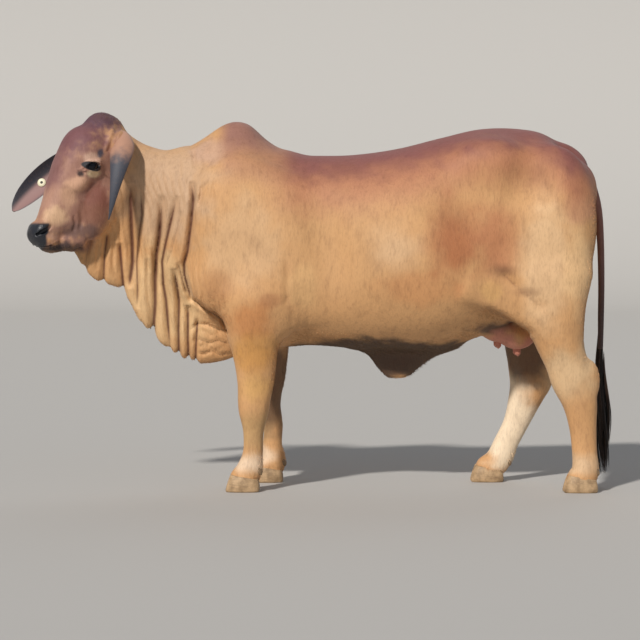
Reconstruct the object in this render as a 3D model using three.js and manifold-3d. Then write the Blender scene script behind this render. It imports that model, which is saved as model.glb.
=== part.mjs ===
// A life-size standing Brahman cow, red coat, polled, head turned a little to its left.
// Millimetres, +Z up, head towards -X, the animal's left side towards -Y, soles at Z = 0.
import * as THREE from "three";
import { mergeVertices } from "three/addons/utils/BufferGeometryUtils.js";
import Module from "manifold-3d";

const wasm = await Module();
wasm.setup();

// Driving dimensions
const HIP_HEIGHT = 1406; // top of the croup
const BACK_HEIGHT = 1301; // behind the hump
const HUMP_HEIGHT = 1436;
const CHEST_FLOOR = 548; // underside between and behind the forelegs
const BARREL_HALF_WIDTH = 318;
const HEAD_YAW = 32; // degrees, towards the animal's left
const HEAD_PIVOT = [-800, 0, 0]; // the head turns about the upright line through this point
const EYE_RADIUS = 26;
const EYE_CENTRE = [-148, 89, 1251]; // in the head's own frame, on its right; mirrored on its left
const EAR_WIDTH = 118;
const TAIL_TIP_HEIGHT = 46;
const TAG_RADIUS = 17;
const TAG_PLACE = 0.65; // share of the ear's length
const TAG_ACROSS = -0.1; // share of its half-width
const SWITCH_LOCKS = 13;
const CORONET_HEIGHT = 58; // top of the claws at the middle of the foot
const CORONET_SLOPE = 0.17; // lower towards the heel
const GAP = 0.3; // between touching solids
const LATTICE = 0.01; // spacing that finished points are rounded to
const PINCH = 0.08; // points closer than this are drawn apart

// Signed distances: negative inside the body. Each shape has distance(x, y, z).

/** Joins two distances, rounding the valley between them over `blend` millimetres. */
function join(a, b, blend) {
  const h = Math.max(blend - Math.abs(a - b), 0) / blend;
  return Math.min(a, b) - (h * h * blend) / 4;
}

/** Takes the shape with distance b out of the one with distance a. */
function hollow(a, b, blend) {
  return -join(-a, b, blend);
}

/** Distance to a body with half-axes a and b across, and c past its ends; `square` above 2 fills its corners. */
function sectionDistance(u, v, w, a, b, c, square) {
  const [p, q] = [Math.abs(u) / a, Math.abs(v) / b];
  const flat = (p ** square + q ** square) ** (1 / square);
  const rho = Math.sqrt(flat * flat + (w / c) ** 2);
  if (rho < 1e-4) return -Math.min(a, b);
  const turn = flat > 0 ? flat ** (2 - square) : 0;
  const slope = Math.hypot((turn * p ** (square - 1)) / a, (turn * q ** (square - 1)) / b, w / (c * c));
  return ((rho - 1) * rho) / slope;
}

const SLACK = 40; // the distances of slender shapes fall short of their boxes' by up to this

/** The box round points, grown by a margin. */
function boxOf(points, margin) {
  const box = new THREE.Box3().setFromPoints(points.map((p) => new THREE.Vector3(...p)));
  return box.expandByScalar(margin);
}

/** Least distance from a point to a box, nothing inside it. */
function boxDistance({ min, max }, x, y, z) {
  const dx = Math.max(min.x - x, 0, x - max.x);
  const dy = Math.max(min.y - y, 0, y - max.y);
  const dz = Math.max(min.z - z, 0, z - max.z);
  return Math.sqrt(dx * dx + dy * dy + dz * dz);
}

/** An ellipsoid of muscle, fat or bone, turned by degrees about X, Y, then Z. */
class Mass {
  constructor(centre, radii, turn = [0, 0, 0]) {
    this.box = boxOf([centre], Math.max(...radii));
    const angles = turn.map(THREE.MathUtils.degToRad);
    const matrix = new THREE.Matrix4().makeRotationFromEuler(new THREE.Euler(...angles, "ZYX"));
    this.inverse = matrix.transpose().elements;
    this.centre = centre;
    this.radii = radii;
  }
  distance(x, y, z) {
    const e = this.inverse;
    const [px, py, pz] = [x - this.centre[0], y - this.centre[1], z - this.centre[2]];
    const [rx, ry, rz] = this.radii;
    const u = e[0] * px + e[4] * py + e[8] * pz;
    const v = e[1] * px + e[5] * py + e[9] * pz;
    const w = e[2] * px + e[6] * py + e[10] * pz;
    const near = Math.hypot(u / rx, v / ry, w / rz);
    const slope = Math.hypot(u / rx ** 2, v / ry ** 2, w / rz ** 2);
    return slope < 1e-9 ? -Math.min(rx, ry, rz) : (near * (near - 1)) / slope;
  }
}

/** Slope-continuous curve through values at uneven places. */
function through(places, values, at) {
  const last = places.length - 1;
  let i = 0;
  while (i < last - 1 && at > places[i + 1]) i += 1;
  const slope = (k) => {
    const lo = Math.max(k - 1, 0);
    const hi = Math.min(k + 1, last);
    return (values[hi] - values[lo]) / (places[hi] - places[lo]);
  };
  const span = places[i + 1] - places[i];
  const t = (at - places[i]) / span;
  const [m0, m1] = [slope(i) * span, slope(i + 1) * span];
  const rise = values[i + 1] - values[i];
  return values[i] + t * (m0 + t * (3 * rise - 2 * m0 - m1 + t * (m0 + m1 - 2 * rise)));
}

/** A form cut into upright slices along X: each station gives its middle height, half-width and reach up and down. */
class Slices {
  constructor(stations, { square = 2, step = 8 } = {}) {
    const places = stations.map((s) => s.x);
    const count = Math.ceil((places.at(-1) - places[0]) / step);
    this.start = places[0];
    this.end = places.at(-1);
    this.step = (this.end - this.start) / count;
    this.square = square;
    const column = (key) => stations.map((s) => s[key] ?? 0);
    this.rows = Array.from({ length: count + 1 }, (_, k) => {
      const at = this.start + k * this.step;
      return ["z", "wide", "up", "down", "y"].map((key) => through(places, column(key), at));
    });
    const corners = stations.flatMap((s) => {
      const cap = Math.min(s.wide, s.up, s.down);
      const y = s.y ?? 0;
      return [[s.x - cap, y - s.wide, s.z - s.down], [s.x + cap, y + s.wide, s.z + s.up]];
    });
    this.box = boxOf(corners, 4);
  }
  distance(x, y, z) {
    const inside = Math.min(Math.max(x, this.start), this.end);
    const place = (inside - this.start) / this.step;
    const i = Math.min(Math.floor(place), this.rows.length - 2);
    const f = place - i;
    const [low, high] = [this.rows[i], this.rows[i + 1]];
    const wide = low[1] + (high[1] - low[1]) * f;
    const up = low[2] + (high[2] - low[2]) * f;
    const down = low[3] + (high[3] - low[3]) * f;
    const u = y - low[4] - (high[4] - low[4]) * f;
    const v = z - low[0] - (high[0] - low[0]) * f;
    const cap = Math.min(wide, up, down);
    return sectionDistance(u, v, x - inside, wide, v > 0 ? up : down, cap, this.square);
  }
}

/** A limb strung along a smooth line: half-widths towards `side`, and fore and aft of it in the plane of the bend. */
class Limb {
  constructor(stations, { side = [0, 1, 0], square = 2, steps = 6 } = {}) {
    const index = stations.map((_, k) => k);
    const value = (read, t) => through(index, stations.map(read), t);
    this.square = square;
    this.box = boxOf(stations.map((s) => s.at), Math.max(...stations.map((s) => Math.max(s.wide, s.fore, s.aft ?? 0))));
    this.samples = [];
    const lateral = new THREE.Vector3(...side);
    for (let k = 0; k <= (stations.length - 1) * steps; k += 1) {
      const t = k / steps;
      this.samples.push({
        at: new THREE.Vector3(...[0, 1, 2].map((axis) => value((s) => s.at[axis], t))),
        wide: value((s) => s.wide, t),
        fore: value((s) => s.fore, t),
        aft: value((s) => s.aft ?? s.fore, t),
      });
    }
    this.samples.forEach((s, k) => {
      const before = this.samples[Math.max(k - 1, 0)].at;
      const after = this.samples[Math.min(k + 1, this.samples.length - 1)].at;
      s.along = new THREE.Vector3().subVectors(after, before).normalize();
      s.side = lateral.clone().addScaledVector(s.along, -lateral.dot(s.along)).normalize();
      s.front = new THREE.Vector3().crossVectors(s.along, s.side);
    });
  }
  distance(x, y, z) {
    let [best, nearest, share] = [Infinity, 0, 0];
    for (let k = 0; k < this.samples.length - 1; k += 1) {
      const a = this.samples[k].at;
      const b = this.samples[k + 1].at;
      const [dx, dy, dz] = [b.x - a.x, b.y - a.y, b.z - a.z];
      const [px, py, pz] = [x - a.x, y - a.y, z - a.z];
      const t = Math.min(Math.max((px * dx + py * dy + pz * dz) / (dx * dx + dy * dy + dz * dz), 0), 1);
      const [qx, qy, qz] = [px - t * dx, py - t * dy, pz - t * dz];
      const d = qx * qx + qy * qy + qz * qz;
      if (d < best) [best, nearest, share] = [d, k, t];
    }
    const [a, b] = [this.samples[nearest], this.samples[nearest + 1]];
    const mix = (p, q) => p + (q - p) * share;
    const dot = (v, w) =>
      mix(v.x, w.x) * (x - mix(a.at.x, b.at.x)) +
      mix(v.y, w.y) * (y - mix(a.at.y, b.at.y)) +
      mix(v.z, w.z) * (z - mix(a.at.z, b.at.z));
    const front = dot(a.front, b.front);
    const wide = mix(a.wide, b.wide);
    const reach = front > 0 ? mix(a.fore, b.fore) : mix(a.aft, b.aft);
    const cap = Math.min(wide, reach);
    return sectionDistance(dot(a.side, b.side), front, dot(a.along, b.along), wide, reach, cap, this.square);
  }
}

/** A shape turned by degrees about the upright line through a pivot. */
class Turned {
  constructor(shape, pivot, yaw) {
    const angle = THREE.MathUtils.degToRad(yaw);
    Object.assign(this, { shape, pivot, cos: Math.cos(angle), sin: Math.sin(angle) });
    const { min, max } = shape.box;
    const corners = [min.x, max.x].flatMap((x) => [min.y, max.y].map((y) => [x, y]));
    this.box = boxOf(corners.flatMap(([x, y]) => [this.toWorld([x, y, min.z]), this.toWorld([x, y, max.z])]), 0);
  }
  toLocal(x, y) {
    const [px, py] = [x - this.pivot[0], y - this.pivot[1]];
    return [px * this.cos + py * this.sin, py * this.cos - px * this.sin];
  }
  toWorld([x, y, z]) {
    const px = x * this.cos - y * this.sin + this.pivot[0];
    return [px, x * this.sin + y * this.cos + this.pivot[1], z];
  }
  distance(x, y, z) {
    const [u, v] = this.toLocal(x, y);
    return this.shape.distance(u, v, z);
  }
}

/** A sharp valley between rounded folds of skin, pressed into both sides of the body along [x, z] points. */
class Crease {
  constructor(line, depth, width) {
    Object.assign(this, { line, depth, width });
    this.box = boxOf(line.map(([x, z]) => [x, 0, z]), width);
    this.box.min.y = -1e3;
    this.box.max.y = 1e3;
  }
  offset(x, z) {
    let [best, place] = [Infinity, 0];
    const spans = this.line.length - 1;
    for (let k = 0; k < spans; k += 1) {
      const [[ax, az], [bx, bz]] = [this.line[k], this.line[k + 1]];
      const [dx, dz] = [bx - ax, bz - az];
      const t = Math.min(Math.max(((x - ax) * dx + (z - az) * dz) / (dx * dx + dz * dz), 0), 1);
      const d = Math.hypot(x - ax - t * dx, z - az - t * dz);
      if (d < best) [best, place] = [d, (k + t) / spans];
    }
    const valley = Math.max(1 - best / this.width, 0) ** 2;
    return this.depth * Math.min(1, 3 * Math.sqrt(place * (1 - place))) * valley;
  }
}

/** Shapes joined, hollowed and creased in turn. */
class Body {
  constructor() {
    this.steps = [];
    this.box = new THREE.Box3();
  }
  add(shape, blend = 40) {
    this.box.union(shape.box);
    const near = (d) => d + blend;
    this.steps.push({ shape, near, act: (d, x, y, z) => join(d, shape.distance(x, y, z), blend) });
    return this;
  }
  take(shape, blend = 20) {
    const near = (d) => blend - d;
    this.steps.push({ shape, near, act: (d, x, y, z) => hollow(d, shape.distance(x, y, z), blend) });
    return this;
  }
  crease(line, depth, width) {
    const shape = new Crease(line, depth, width);
    this.steps.push({ shape, near: () => -SLACK, act: (d, x, y, z) => d + shape.offset(x, z) });
    return this;
  }
  distance(x, y, z) {
    let d = 1e3;
    for (const { shape, near, act } of this.steps) {
      if (boxDistance(shape.box, x, y, z) <= near(d) + SLACK) d = act(d, x, y, z);
    }
    return d;
  }
}

/** Adds a mass and its mirror image. */
function addPair(body, [x, y, z], radii, { turn = [0, 0, 0], blend = 40 } = {}) {
  body.add(new Mass([x, -y, z], radii, [-turn[0], turn[1], -turn[2]]), blend);
  body.add(new Mass([x, y, z], radii, turn), blend);
}

// Trunk

const trunk = new Slices(
  [
    { x: -470, z: 985, wide: 150, up: 300, down: 250 },
    { x: -350, z: 960, wide: 205, up: 335, down: 360 },
    { x: -200, z: 930, wide: 240, up: 368, down: 930 - CHEST_FLOOR },
    { x: -40, z: 900, wide: 262, up: BACK_HEIGHT - 902, down: 900 - CHEST_FLOOR - 8 },
    { x: 118, z: 890, wide: 292, up: BACK_HEIGHT - 890, down: 890 - CHEST_FLOOR + 2 },
    { x: 294, z: 890, wide: BARREL_HALF_WIDTH, up: 434, down: 352 },
    { x: 470, z: 905, wide: BARREL_HALF_WIDTH, up: 462, down: 362 },
    { x: 627, z: 940, wide: 288, up: HIP_HEIGHT - 944, down: 350 },
    { x: 784, z: 980, wide: 248, up: HIP_HEIGHT - 984, down: 340 },
    { x: 890, z: 1010, wide: 205, up: 364, down: 300 },
    { x: 958, z: 1030, wide: 110, up: 270, down: 240 },
  ],
  { square: 2.25 },
);

const hump = new Slices(
  [
    { x: -505, z: 1250, wide: 60, up: 66, down: 120 },
    { x: -440, z: 1260, wide: 84, up: 116, down: 160 },
    { x: -380, z: 1270, wide: 96, up: 148, down: 180 },
    { x: -325, z: 1270, wide: 100, up: HUMP_HEIGHT - 1272, down: 180 },
    { x: -275, z: 1270, wide: 98, up: 152, down: 180 },
    { x: -220, z: 1260, wide: 84, up: 112, down: 170 },
    { x: -150, z: 1250, wide: 62, up: 60, down: 140 },
  ],
  { square: 2.1 },
);

const neck = new Slices(
  [
    { x: -830, z: 1240, wide: 80, up: 110, down: 190, y: -16 },
    { x: -760, z: 1220, wide: 86, up: 158, down: 250, y: -5 },
    { x: -680, z: 1190, wide: 96, up: 152, down: 310 },
    { x: -600, z: 1150, wide: 118, up: 168, down: 350 },
    { x: -520, z: 1110, wide: 150, up: 196, down: 380 },
    { x: -430, z: 1060, wide: 186, up: 236, down: 400 },
  ],
  { square: 2.1 },
);

const dewlap = new Slices(
  [
    { x: -955, z: 960, wide: 14, up: 30, down: 30, y: -74 },
    { x: -930, z: 980, wide: 24, up: 60, down: 104, y: -60 },
    { x: -880, z: 980, wide: 35, up: 100, down: 164, y: -38 },
    { x: -810, z: 980, wide: 42, up: 120, down: 192, y: -14 },
    { x: -775, z: 980, wide: 46, up: 120, down: 208, y: -4 },
    { x: -745, z: 960, wide: 50, up: 120, down: 236 },
    { x: -715, z: 940, wide: 53, up: 120, down: 276 },
    { x: -680, z: 920, wide: 56, up: 120, down: 312 },
    { x: -620, z: 880, wide: 60, up: 120, down: 320 },
    { x: -560, z: 850, wide: 64, up: 120, down: 338 },
    { x: -500, z: 800, wide: 68, up: 120, down: 312 },
    { x: -440, z: 760, wide: 74, up: 120, down: 276 },
    { x: -360, z: 740, wide: 78, up: 120, down: 240 },
    { x: -290, z: 720, wide: 74, up: 100, down: 190 },
  ],
  { square: 2.6 },
);

const navel = new Slices(
  [
    { x: 140, z: 600, wide: 40, up: 40, down: 50 },
    { x: 190, z: 600, wide: 30, up: 40, down: 86 },
    { x: 222, z: 600, wide: 26, up: 40, down: 130 },
    { x: 260, z: 600, wide: 24, up: 40, down: 170 },
    { x: 306, z: 600, wide: 23, up: 40, down: 176 },
    { x: 350, z: 600, wide: 24, up: 40, down: 168 },
    { x: 392, z: 600, wide: 27, up: 40, down: 134 },
    { x: 440, z: 600, wide: 34, up: 40, down: 96 },
    { x: 520, z: 600, wide: 44, up: 40, down: 62 },
  ],
  { square: 2.4 },
);

// Legs, strung from the fetlock up. The near, left legs are at -Y.

const foreLeg = (y, x, lean) =>
  new Limb(
    [
      { at: [x + lean.toe, y, 50], wide: 50, fore: 58, aft: 54 },
      { at: [x + lean.fetlock, y, 86], wide: 45, fore: 50, aft: 52 },
      { at: [x + lean.cannon, y, 150], wide: 34, fore: 39, aft: 42 },
      { at: [x + lean.cannon + 3, y, 230], wide: 34, fore: 41, aft: 42 },
      { at: [x + lean.knee, y, 300], wide: 50, fore: 60, aft: 56 },
      { at: [x, y, 345], wide: 54, fore: 66, aft: 62 },
      { at: [x, y, 420], wide: 52, fore: 68, aft: 76 },
      { at: [x, y, 520], wide: 64, fore: 84, aft: 88 },
      { at: [x - 8, y, 620], wide: 82, fore: 104, aft: 106 },
      { at: [x - 8, y * 1.02, 730], wide: 86, fore: 120, aft: 130 },
    ],
    { square: 2.2 },
  );

const nearForeLeg = foreLeg(-168, -252, { toe: -38, fetlock: -22, cannon: -8, knee: -2 });
const farForeLeg = foreLeg(160, -214, { toe: 9, fetlock: 27, cannon: 22, knee: 4 });

const nearHindLeg = new Limb(
  [
    { at: [1008, -190, 50], wide: 52, fore: 60, aft: 56 },
    { at: [1020, -190, 88], wide: 47, fore: 54, aft: 54 },
    { at: [1016, -190, 160], wide: 37, fore: 50, aft: 50 },
    { at: [1010, -190, 250], wide: 40, fore: 55, aft: 54 },
    { at: [1000, -190, 340], wide: 50, fore: 70, aft: 66 },
    { at: [980, -190, 425], wide: 56, fore: 92, aft: 74 },
    { at: [955, -190, 510], wide: 60, fore: 96, aft: 70 },
    { at: [925, -188, 590], wide: 78, fore: 104, aft: 92 },
    { at: [900, -180, 690], wide: 98, fore: 122, aft: 124 },
    { at: [880, -168, 800], wide: 104, fore: 150, aft: 160 },
  ],
  { square: 2.2 },
);

const farHindLeg = new Limb(
  [
    { at: [678, 175, 50], wide: 52, fore: 58, aft: 58 },
    { at: [714, 175, 88], wide: 47, fore: 52, aft: 54 },
    { at: [744, 175, 150], wide: 38, fore: 50, aft: 50 },
    { at: [782, 175, 230], wide: 40, fore: 50, aft: 54 },
    { at: [812, 175, 310], wide: 50, fore: 62, aft: 66 },
    { at: [836, 175, 390], wide: 56, fore: 78, aft: 82 },
    { at: [842, 175, 480], wide: 60, fore: 92, aft: 82 },
    { at: [840, 175, 580], wide: 76, fore: 106, aft: 96 },
    { at: [850, 172, 690], wide: 92, fore: 122, aft: 124 },
    { at: [880, 165, 800], wide: 100, fore: 150, aft: 150 },
  ],
  { square: 2.2 },
);

// Head, in its own frame: the head faces -X, and X is measured from the pivot.

const skull = new Limb(
  [
    { at: [-322, 0, 985], wide: 54, fore: 42, aft: 44 },
    { at: [-292, 0, 1034], wide: 55, fore: 44, aft: 90 },
    { at: [-256, 0, 1104], wide: 64, fore: 54, aft: 128 },
    { at: [-216, 0, 1182], wide: 82, fore: 70, aft: 150 },
    { at: [-170, 0, 1252], wide: 97, fore: 88, aft: 146 },
    { at: [-118, 0, 1312], wide: 98, fore: 88, aft: 124 },
    { at: [-70, 0, 1356], wide: 82, fore: 74, aft: 104 },
  ],
  { square: 2.4 },
);

const jaw = (side) =>
  new Limb(
    [
      { at: [-276, side * 14, 948], wide: 24, fore: 26 },
      { at: [-212, side * 34, 962], wide: 28, fore: 34 },
      { at: [-150, side * 50, 996], wide: 30, fore: 40 },
      { at: [-104, side * 60, 1058], wide: 32, fore: 50 },
      { at: [-84, side * 66, 1130], wide: 32, fore: 56 },
    ],
    { side: [0, 1, 0] },
  );

function headShape() {
  const head = new Body();
  head.add(skull);
  head.add(new Mass([-138, 0, 1324], [78, 90, 84]), 40); // bulging forehead
  head.add(new Mass([-56, 0, 1410], [66, 54, 56], [0, 10, 0]), 40); // poll
  head.add(new Mass([-14, 0, 1404], [40, 46, 40]), 24); // back of the poll
  addPair(head, [-146, 84, 1272], [44, 24, 26], { turn: [0, 30, 0], blend: 24 }); // brow
  addPair(head, [-168, 72, 1214], [64, 26, 26], { turn: [0, -46, 0], blend: 34 }); // cheek bone
  head.add(jaw(-1), 24);
  head.add(jaw(1), 24);
  addPair(head, [-96, 62, 1110], [56, 36, 92], { turn: [0, 20, 0], blend: 34 }); // cheek muscle
  addPair(head, [-206, 38, 1060], [70, 30, 62], { blend: 40 }); // cheek over the grinders
  addPair(head, [-50, 66, 1312], [44, 36, 50], { blend: 30 }); // root of the ear
  head.add(new Mass([-336, 0, 994], [31, 55, 36]), 24); // muzzle pad
  addPair(head, [-326, 38, 1014], [24, 20, 22], { blend: 18 }); // wing of the nostril
  addPair(head, [-302, 32, 966], [40, 30, 26], { blend: 16 }); // upper lip
  head.add(new Mass([-274, 0, 943], [48, 38, 22], [0, -8, 0]), 16); // lower lip and chin
  for (const side of [-1, 1]) {
    head.take(new Mass([-134, side * 126, 1291], [24, 15, 13], [0, -16, 0]), 18); // hollow over the lids
    head.take(new Mass([-190, side * 108, 1229], [22, 10, 8], [0, -36, 0]), 12); // tear corner
  }
  return head;
}

const head = new Turned(headShape(), HEAD_PIVOT, HEAD_YAW);

// Valleys between the hanging folds of neck and dewlap, each down a line of [x, z] points
const VALLEYS = [
  { line: [[-736, 1186], [-734, 1026], [-732, 882], [-747, 781]], depth: 24, width: 34 },
  { line: [[-695, 1163], [-691, 1065], [-708, 968], [-716, 882], [-716, 711]], depth: 15, width: 28 },
  { line: [[-609, 1139], [-623, 984], [-637, 910], [-644, 816], [-650, 649], [-654, 560]], depth: 36, width: 32 },
  { line: [[-549, 1139], [-576, 1038], [-615, 882], [-601, 735], [-595, 657], [-584, 500]], depth: 24, width: 27 },
  { line: [[-493, 1193], [-486, 1123], [-493, 1042], [-524, 875], [-510, 778], [-501, 727]], depth: 23, width: 28 },
  { line: [[-564, 859], [-550, 735], [-553, 618], [-553, 480]], depth: 25, width: 25 },
  { line: [[-515, 715], [-516, 579], [-514, 450]], depth: 24, width: 25 },
  { line: [[-477, 664], [-483, 579], [-490, 450]], depth: 19, width: 24 },
  { line: [[-827, 999], [-839, 910], [-846, 790]], depth: 17, width: 27 },
  { line: [[-888, 976], [-903, 921], [-920, 840]], depth: 13, width: 24 },
  { line: [[-782, 956], [-776, 882], [-767, 750]], depth: 20, width: 27 },
  { line: [[-492, 735], [-434, 697], [-380, 662], [-357, 604]], depth: 16, width: 26 },
  { line: [[-485, 590], [-423, 612], [-340, 585]], depth: 11, width: 24 },
  { line: [[627, 708], [708, 670], [811, 605]], depth: 14, width: 40 },
];

/** The fold of skin from the flank down to the stifle. */
function flankFold(side) {
  return new Limb([
    { at: [560, side * 268, 770], wide: 22, fore: 60, aft: 26 },
    { at: [680, side * 246, 716], wide: 20, fore: 60, aft: 26 },
    { at: [770, side * 226, 664], wide: 24, fore: 60, aft: 26 },
    { at: [850, side * 200, 640], wide: 40, fore: 60, aft: 40 },
  ]);
}

// The whole animal without ears, eyes, claws and the free part of the tail

function wholeShape() {
  const cow = new Body();
  cow.add(trunk);
  cow.add(neck, 110);
  cow.add(hump, 80);
  addPair(cow, [-250, 160, 1000], [150, 52, 270], { turn: [0, -16, 0], blend: 150 }); // shoulder blade
  addPair(cow, [-400, 150, 800], [86, 66, 110], { turn: [0, 20, 0], blend: 70 }); // point of the shoulder
  addPair(cow, [-210, 182, 745], [130, 78, 150], { blend: 70 }); // upper arm
  addPair(cow, [-170, 170, 655], [52, 46, 58], { blend: 40 }); // elbow
  addPair(cow, [655, 190, 1262], [100, 56, 70], { blend: 120 }); // hook of the hip
  addPair(cow, [888, 150, 1000], [176, 122, 330], { turn: [0, 4, 0], blend: 80 }); // thigh
  addPair(cow, [1000, 84, 1170], [66, 58, 90], { blend: 60 }); // pin bone
  addPair(cow, [770, 178, 790], [120, 92, 150], { turn: [0, -24, 0], blend: 80 }); // stifle
  cow.add(nearForeLeg, 50);
  cow.add(farForeLeg, 50);
  cow.add(nearHindLeg, 60);
  cow.add(farHindLeg, 60);
  cow.add(new Mass([1046, -190, 446], [26, 26, 58], [0, -8, 0]), 36); // point of the near hock
  cow.add(new Mass([908, 175, 420], [26, 26, 58], [0, 16, 0]), 36); // point of the far hock
  cow.add(dewlap, 46);
  cow.add(navel, 40);
  addPair(cow, [768, 52, 606], [80, 56, 66], { blend: 14 }); // rear quarters of the udder
  addPair(cow, [698, 52, 624], [74, 52, 56], { blend: 16 }); // fore quarters
  for (const side of [-1, 1]) cow.add(flankFold(side), 50);
  cow.add(head, 60);
  cow.add(new Mass([975, 0, 1292], [80, 44, 40], [0, 38, 0]), 50); // root of the tail
  cow.add(new Mass([-776, -84, 1350], [46, 42, 38], [0, 0, 20]), 34); // root of the near ear
  cow.add(new Mass([-888, 48, 1332], [42, 42, 34], [0, 0, -20]), 30); // root of the far ear
  for (const side of [-1, 1]) {
    cow.take(new Mass([566, side * 372, 1150], [150, 66, 150], [0, 20, 0]), 90); // before the hook of the hip
    cow.take(new Mass([812, side * 306, 1196], [90, 50, 80]), 70); // over the hip joint
    cow.take(new Mass([10, side * 318, 1010], [60, 50, 250], [0, -10, 0]), 80); // behind the shoulder
  }
  for (const { line, depth, width } of VALLEYS) cow.crease(line, depth, width);
  return cow;
}

const cow = wholeShape();

// Meshes of fields

const CORNERS = [0, 1, 2, 3, 4, 5, 6, 7].map((k) => [k & 1, (k >> 1) & 1, k >> 2]);
const EDGES = [[0, 1], [2, 3], [4, 5], [6, 7], [0, 2], [1, 3], [4, 6], [5, 7], [0, 4], [1, 5], [2, 6], [3, 7]];
const BLOCK = 4; // cells a side of the blocks that are skipped when they lie clear of the surface

/** The closed surface of a shape inside a box, one vertex for each cell that it passes through. */
class ShapeGeometry3D extends THREE.BufferGeometry {
  constructor(shape, [low, high], cell) {
    super();
    const sides = Array.isArray(cell) ? cell : [cell, cell, cell];
    const count = low.map((start, k) => Math.ceil((high[k] - start) / sides[k] / BLOCK) * BLOCK + 1);
    Object.assign(this, { shape, low, sides, count });
    this.sample();
    this.placeVertices();
    this.joinVertices();
  }
  slot(i, j, k) {
    return (i * this.count[1] + j) * this.count[2] + k;
  }
  place(i, j, k) {
    return [i, j, k].map((n, axis) => this.low[axis] + n * this.sides[axis]);
  }
  each(from, to, step, act) {
    for (let i = from; i < this.count[0] - to; i += step) {
      for (let j = from; j < this.count[1] - to; j += step) {
        for (let k = from; k < this.count[2] - to; k += step) act(i, j, k);
      }
    }
  }
  /** Distances at the grid's points; blocks clear of the surface take their middle's. */
  sample() {
    this.values = new Float64Array(this.count[0] * this.count[1] * this.count[2]).fill(NaN);
    const clear = 1.25 * BLOCK * Math.max(...this.sides);
    this.each(0, 1, BLOCK, (i, j, k) => {
      const d = this.shape.distance(...this.place(i + BLOCK / 2, j + BLOCK / 2, k + BLOCK / 2));
      if (Math.abs(d) < clear) return;
      for (let n = 0; n < (BLOCK + 1) ** 3; n += 1) {
        const [a, b] = [Math.floor(n / (BLOCK + 1) ** 2), Math.floor(n / (BLOCK + 1)) % (BLOCK + 1)];
        const id = this.slot(i + a, j + b, k + (n % (BLOCK + 1)));
        if (Number.isNaN(this.values[id])) this.values[id] = d;
      }
    });
    this.each(0, 0, 1, (i, j, k) => {
      const id = this.slot(i, j, k);
      const rim = [i, j, k].some((n, axis) => n === 0 || n === this.count[axis] - 1);
      if (rim) this.values[id] = 1;
      else if (Number.isNaN(this.values[id])) this.values[id] = this.shape.distance(...this.place(i, j, k));
    });
  }
  /** A vertex at the middle of each crossed cell's crossings, then drawn onto the surface. */
  placeVertices() {
    this.vertex = new Int32Array(this.values.length).fill(-1);
    const points = [];
    this.each(0, 1, 1, (i, j, k) => {
      const corner = CORNERS.map(([a, b, c]) => this.values[this.slot(i + a, j + b, k + c)]);
      const crossed = EDGES.filter(([a, b]) => corner[a] < 0 !== corner[b] < 0);
      if (crossed.length === 0) return;
      const middle = [0, 1, 2].map((axis) => {
        const sum = crossed.reduce((total, [a, b]) => {
          const share = corner[a] / (corner[a] - corner[b]);
          return total + CORNERS[a][axis] + (CORNERS[b][axis] - CORNERS[a][axis]) * share;
        }, 0);
        return sum / crossed.length;
      });
      this.vertex[this.slot(i, j, k)] = points.length / 3;
      points.push(...this.onto(this.place(i + middle[0], j + middle[1], k + middle[2])));
    });
    this.setAttribute("position", new THREE.Float32BufferAttribute(points, 3));
  }
  onto(point) {
    const step = 0.5;
    const d = this.shape.distance(...point);
    const slope = point.map((_, axis) => {
      const moved = point.map((v, k) => (k === axis ? v + step : v));
      return (this.shape.distance(...moved) - d) / step;
    });
    const steep = Math.max(slope.reduce((sum, v) => sum + v * v, 0), 0.25);
    const most = 0.3 * Math.min(...this.sides);
    const move = THREE.MathUtils.clamp(d, -most, most) / steep;
    return point.map((v, axis) => v - move * slope[axis]);
  }
  joinVertices() {
    const index = [];
    this.each(0, 1, 1, (i, j, k) => {
      const inside = this.values[this.slot(i, j, k)] < 0;
      for (let axis = 0; axis < 3; axis += 1) {
        const on = [0, 1, 2].map((n) => (n === axis ? 1 : 0));
        if (inside === this.values[this.slot(i + on[0], j + on[1], k + on[2])] < 0) continue;
        const [u, v] = [(axis + 1) % 3, (axis + 2) % 3];
        const [a, b, c, d] = [[1, 1], [0, 1], [0, 0], [1, 0]].map(([p, q]) => {
          const cell = [i, j, k];
          cell[u] -= p;
          cell[v] -= q;
          return this.vertex[this.slot(...cell)];
        });
        index.push(...(inside ? [a, b, c, a, c, d] : [a, c, b, a, d, c]));
      }
    });
    this.setIndex(index);
  }
}

/** A closed skin over rings of equally many points, with a point of its own at each end. */
class LoftGeometry extends THREE.BufferGeometry {
  constructor(rings) {
    super();
    const sides = rings[0].length;
    const middle = (ring) => ring.reduce((sum, p) => sum.add(p), new THREE.Vector3()).divideScalar(sides);
    const points = [...rings.flat(), middle(rings[0]), middle(rings.at(-1))];
    const index = [];
    const [first, last] = [points.length - 2, points.length - 1];
    for (let k = 0; k < sides; k += 1) {
      const next = (k + 1) % sides;
      const end = (rings.length - 1) * sides;
      index.push(first, next, k, last, end + k, end + next);
      for (let r = 0; r < end; r += sides) {
        index.push(r + k, r + next, r + sides + next, r + k, r + sides + next, r + sides + k);
      }
    }
    this.setAttribute("position", new THREE.Float32BufferAttribute(points.flatMap((p) => p.toArray()), 3));
    this.setIndex(index);
  }
}

// Solids

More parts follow.
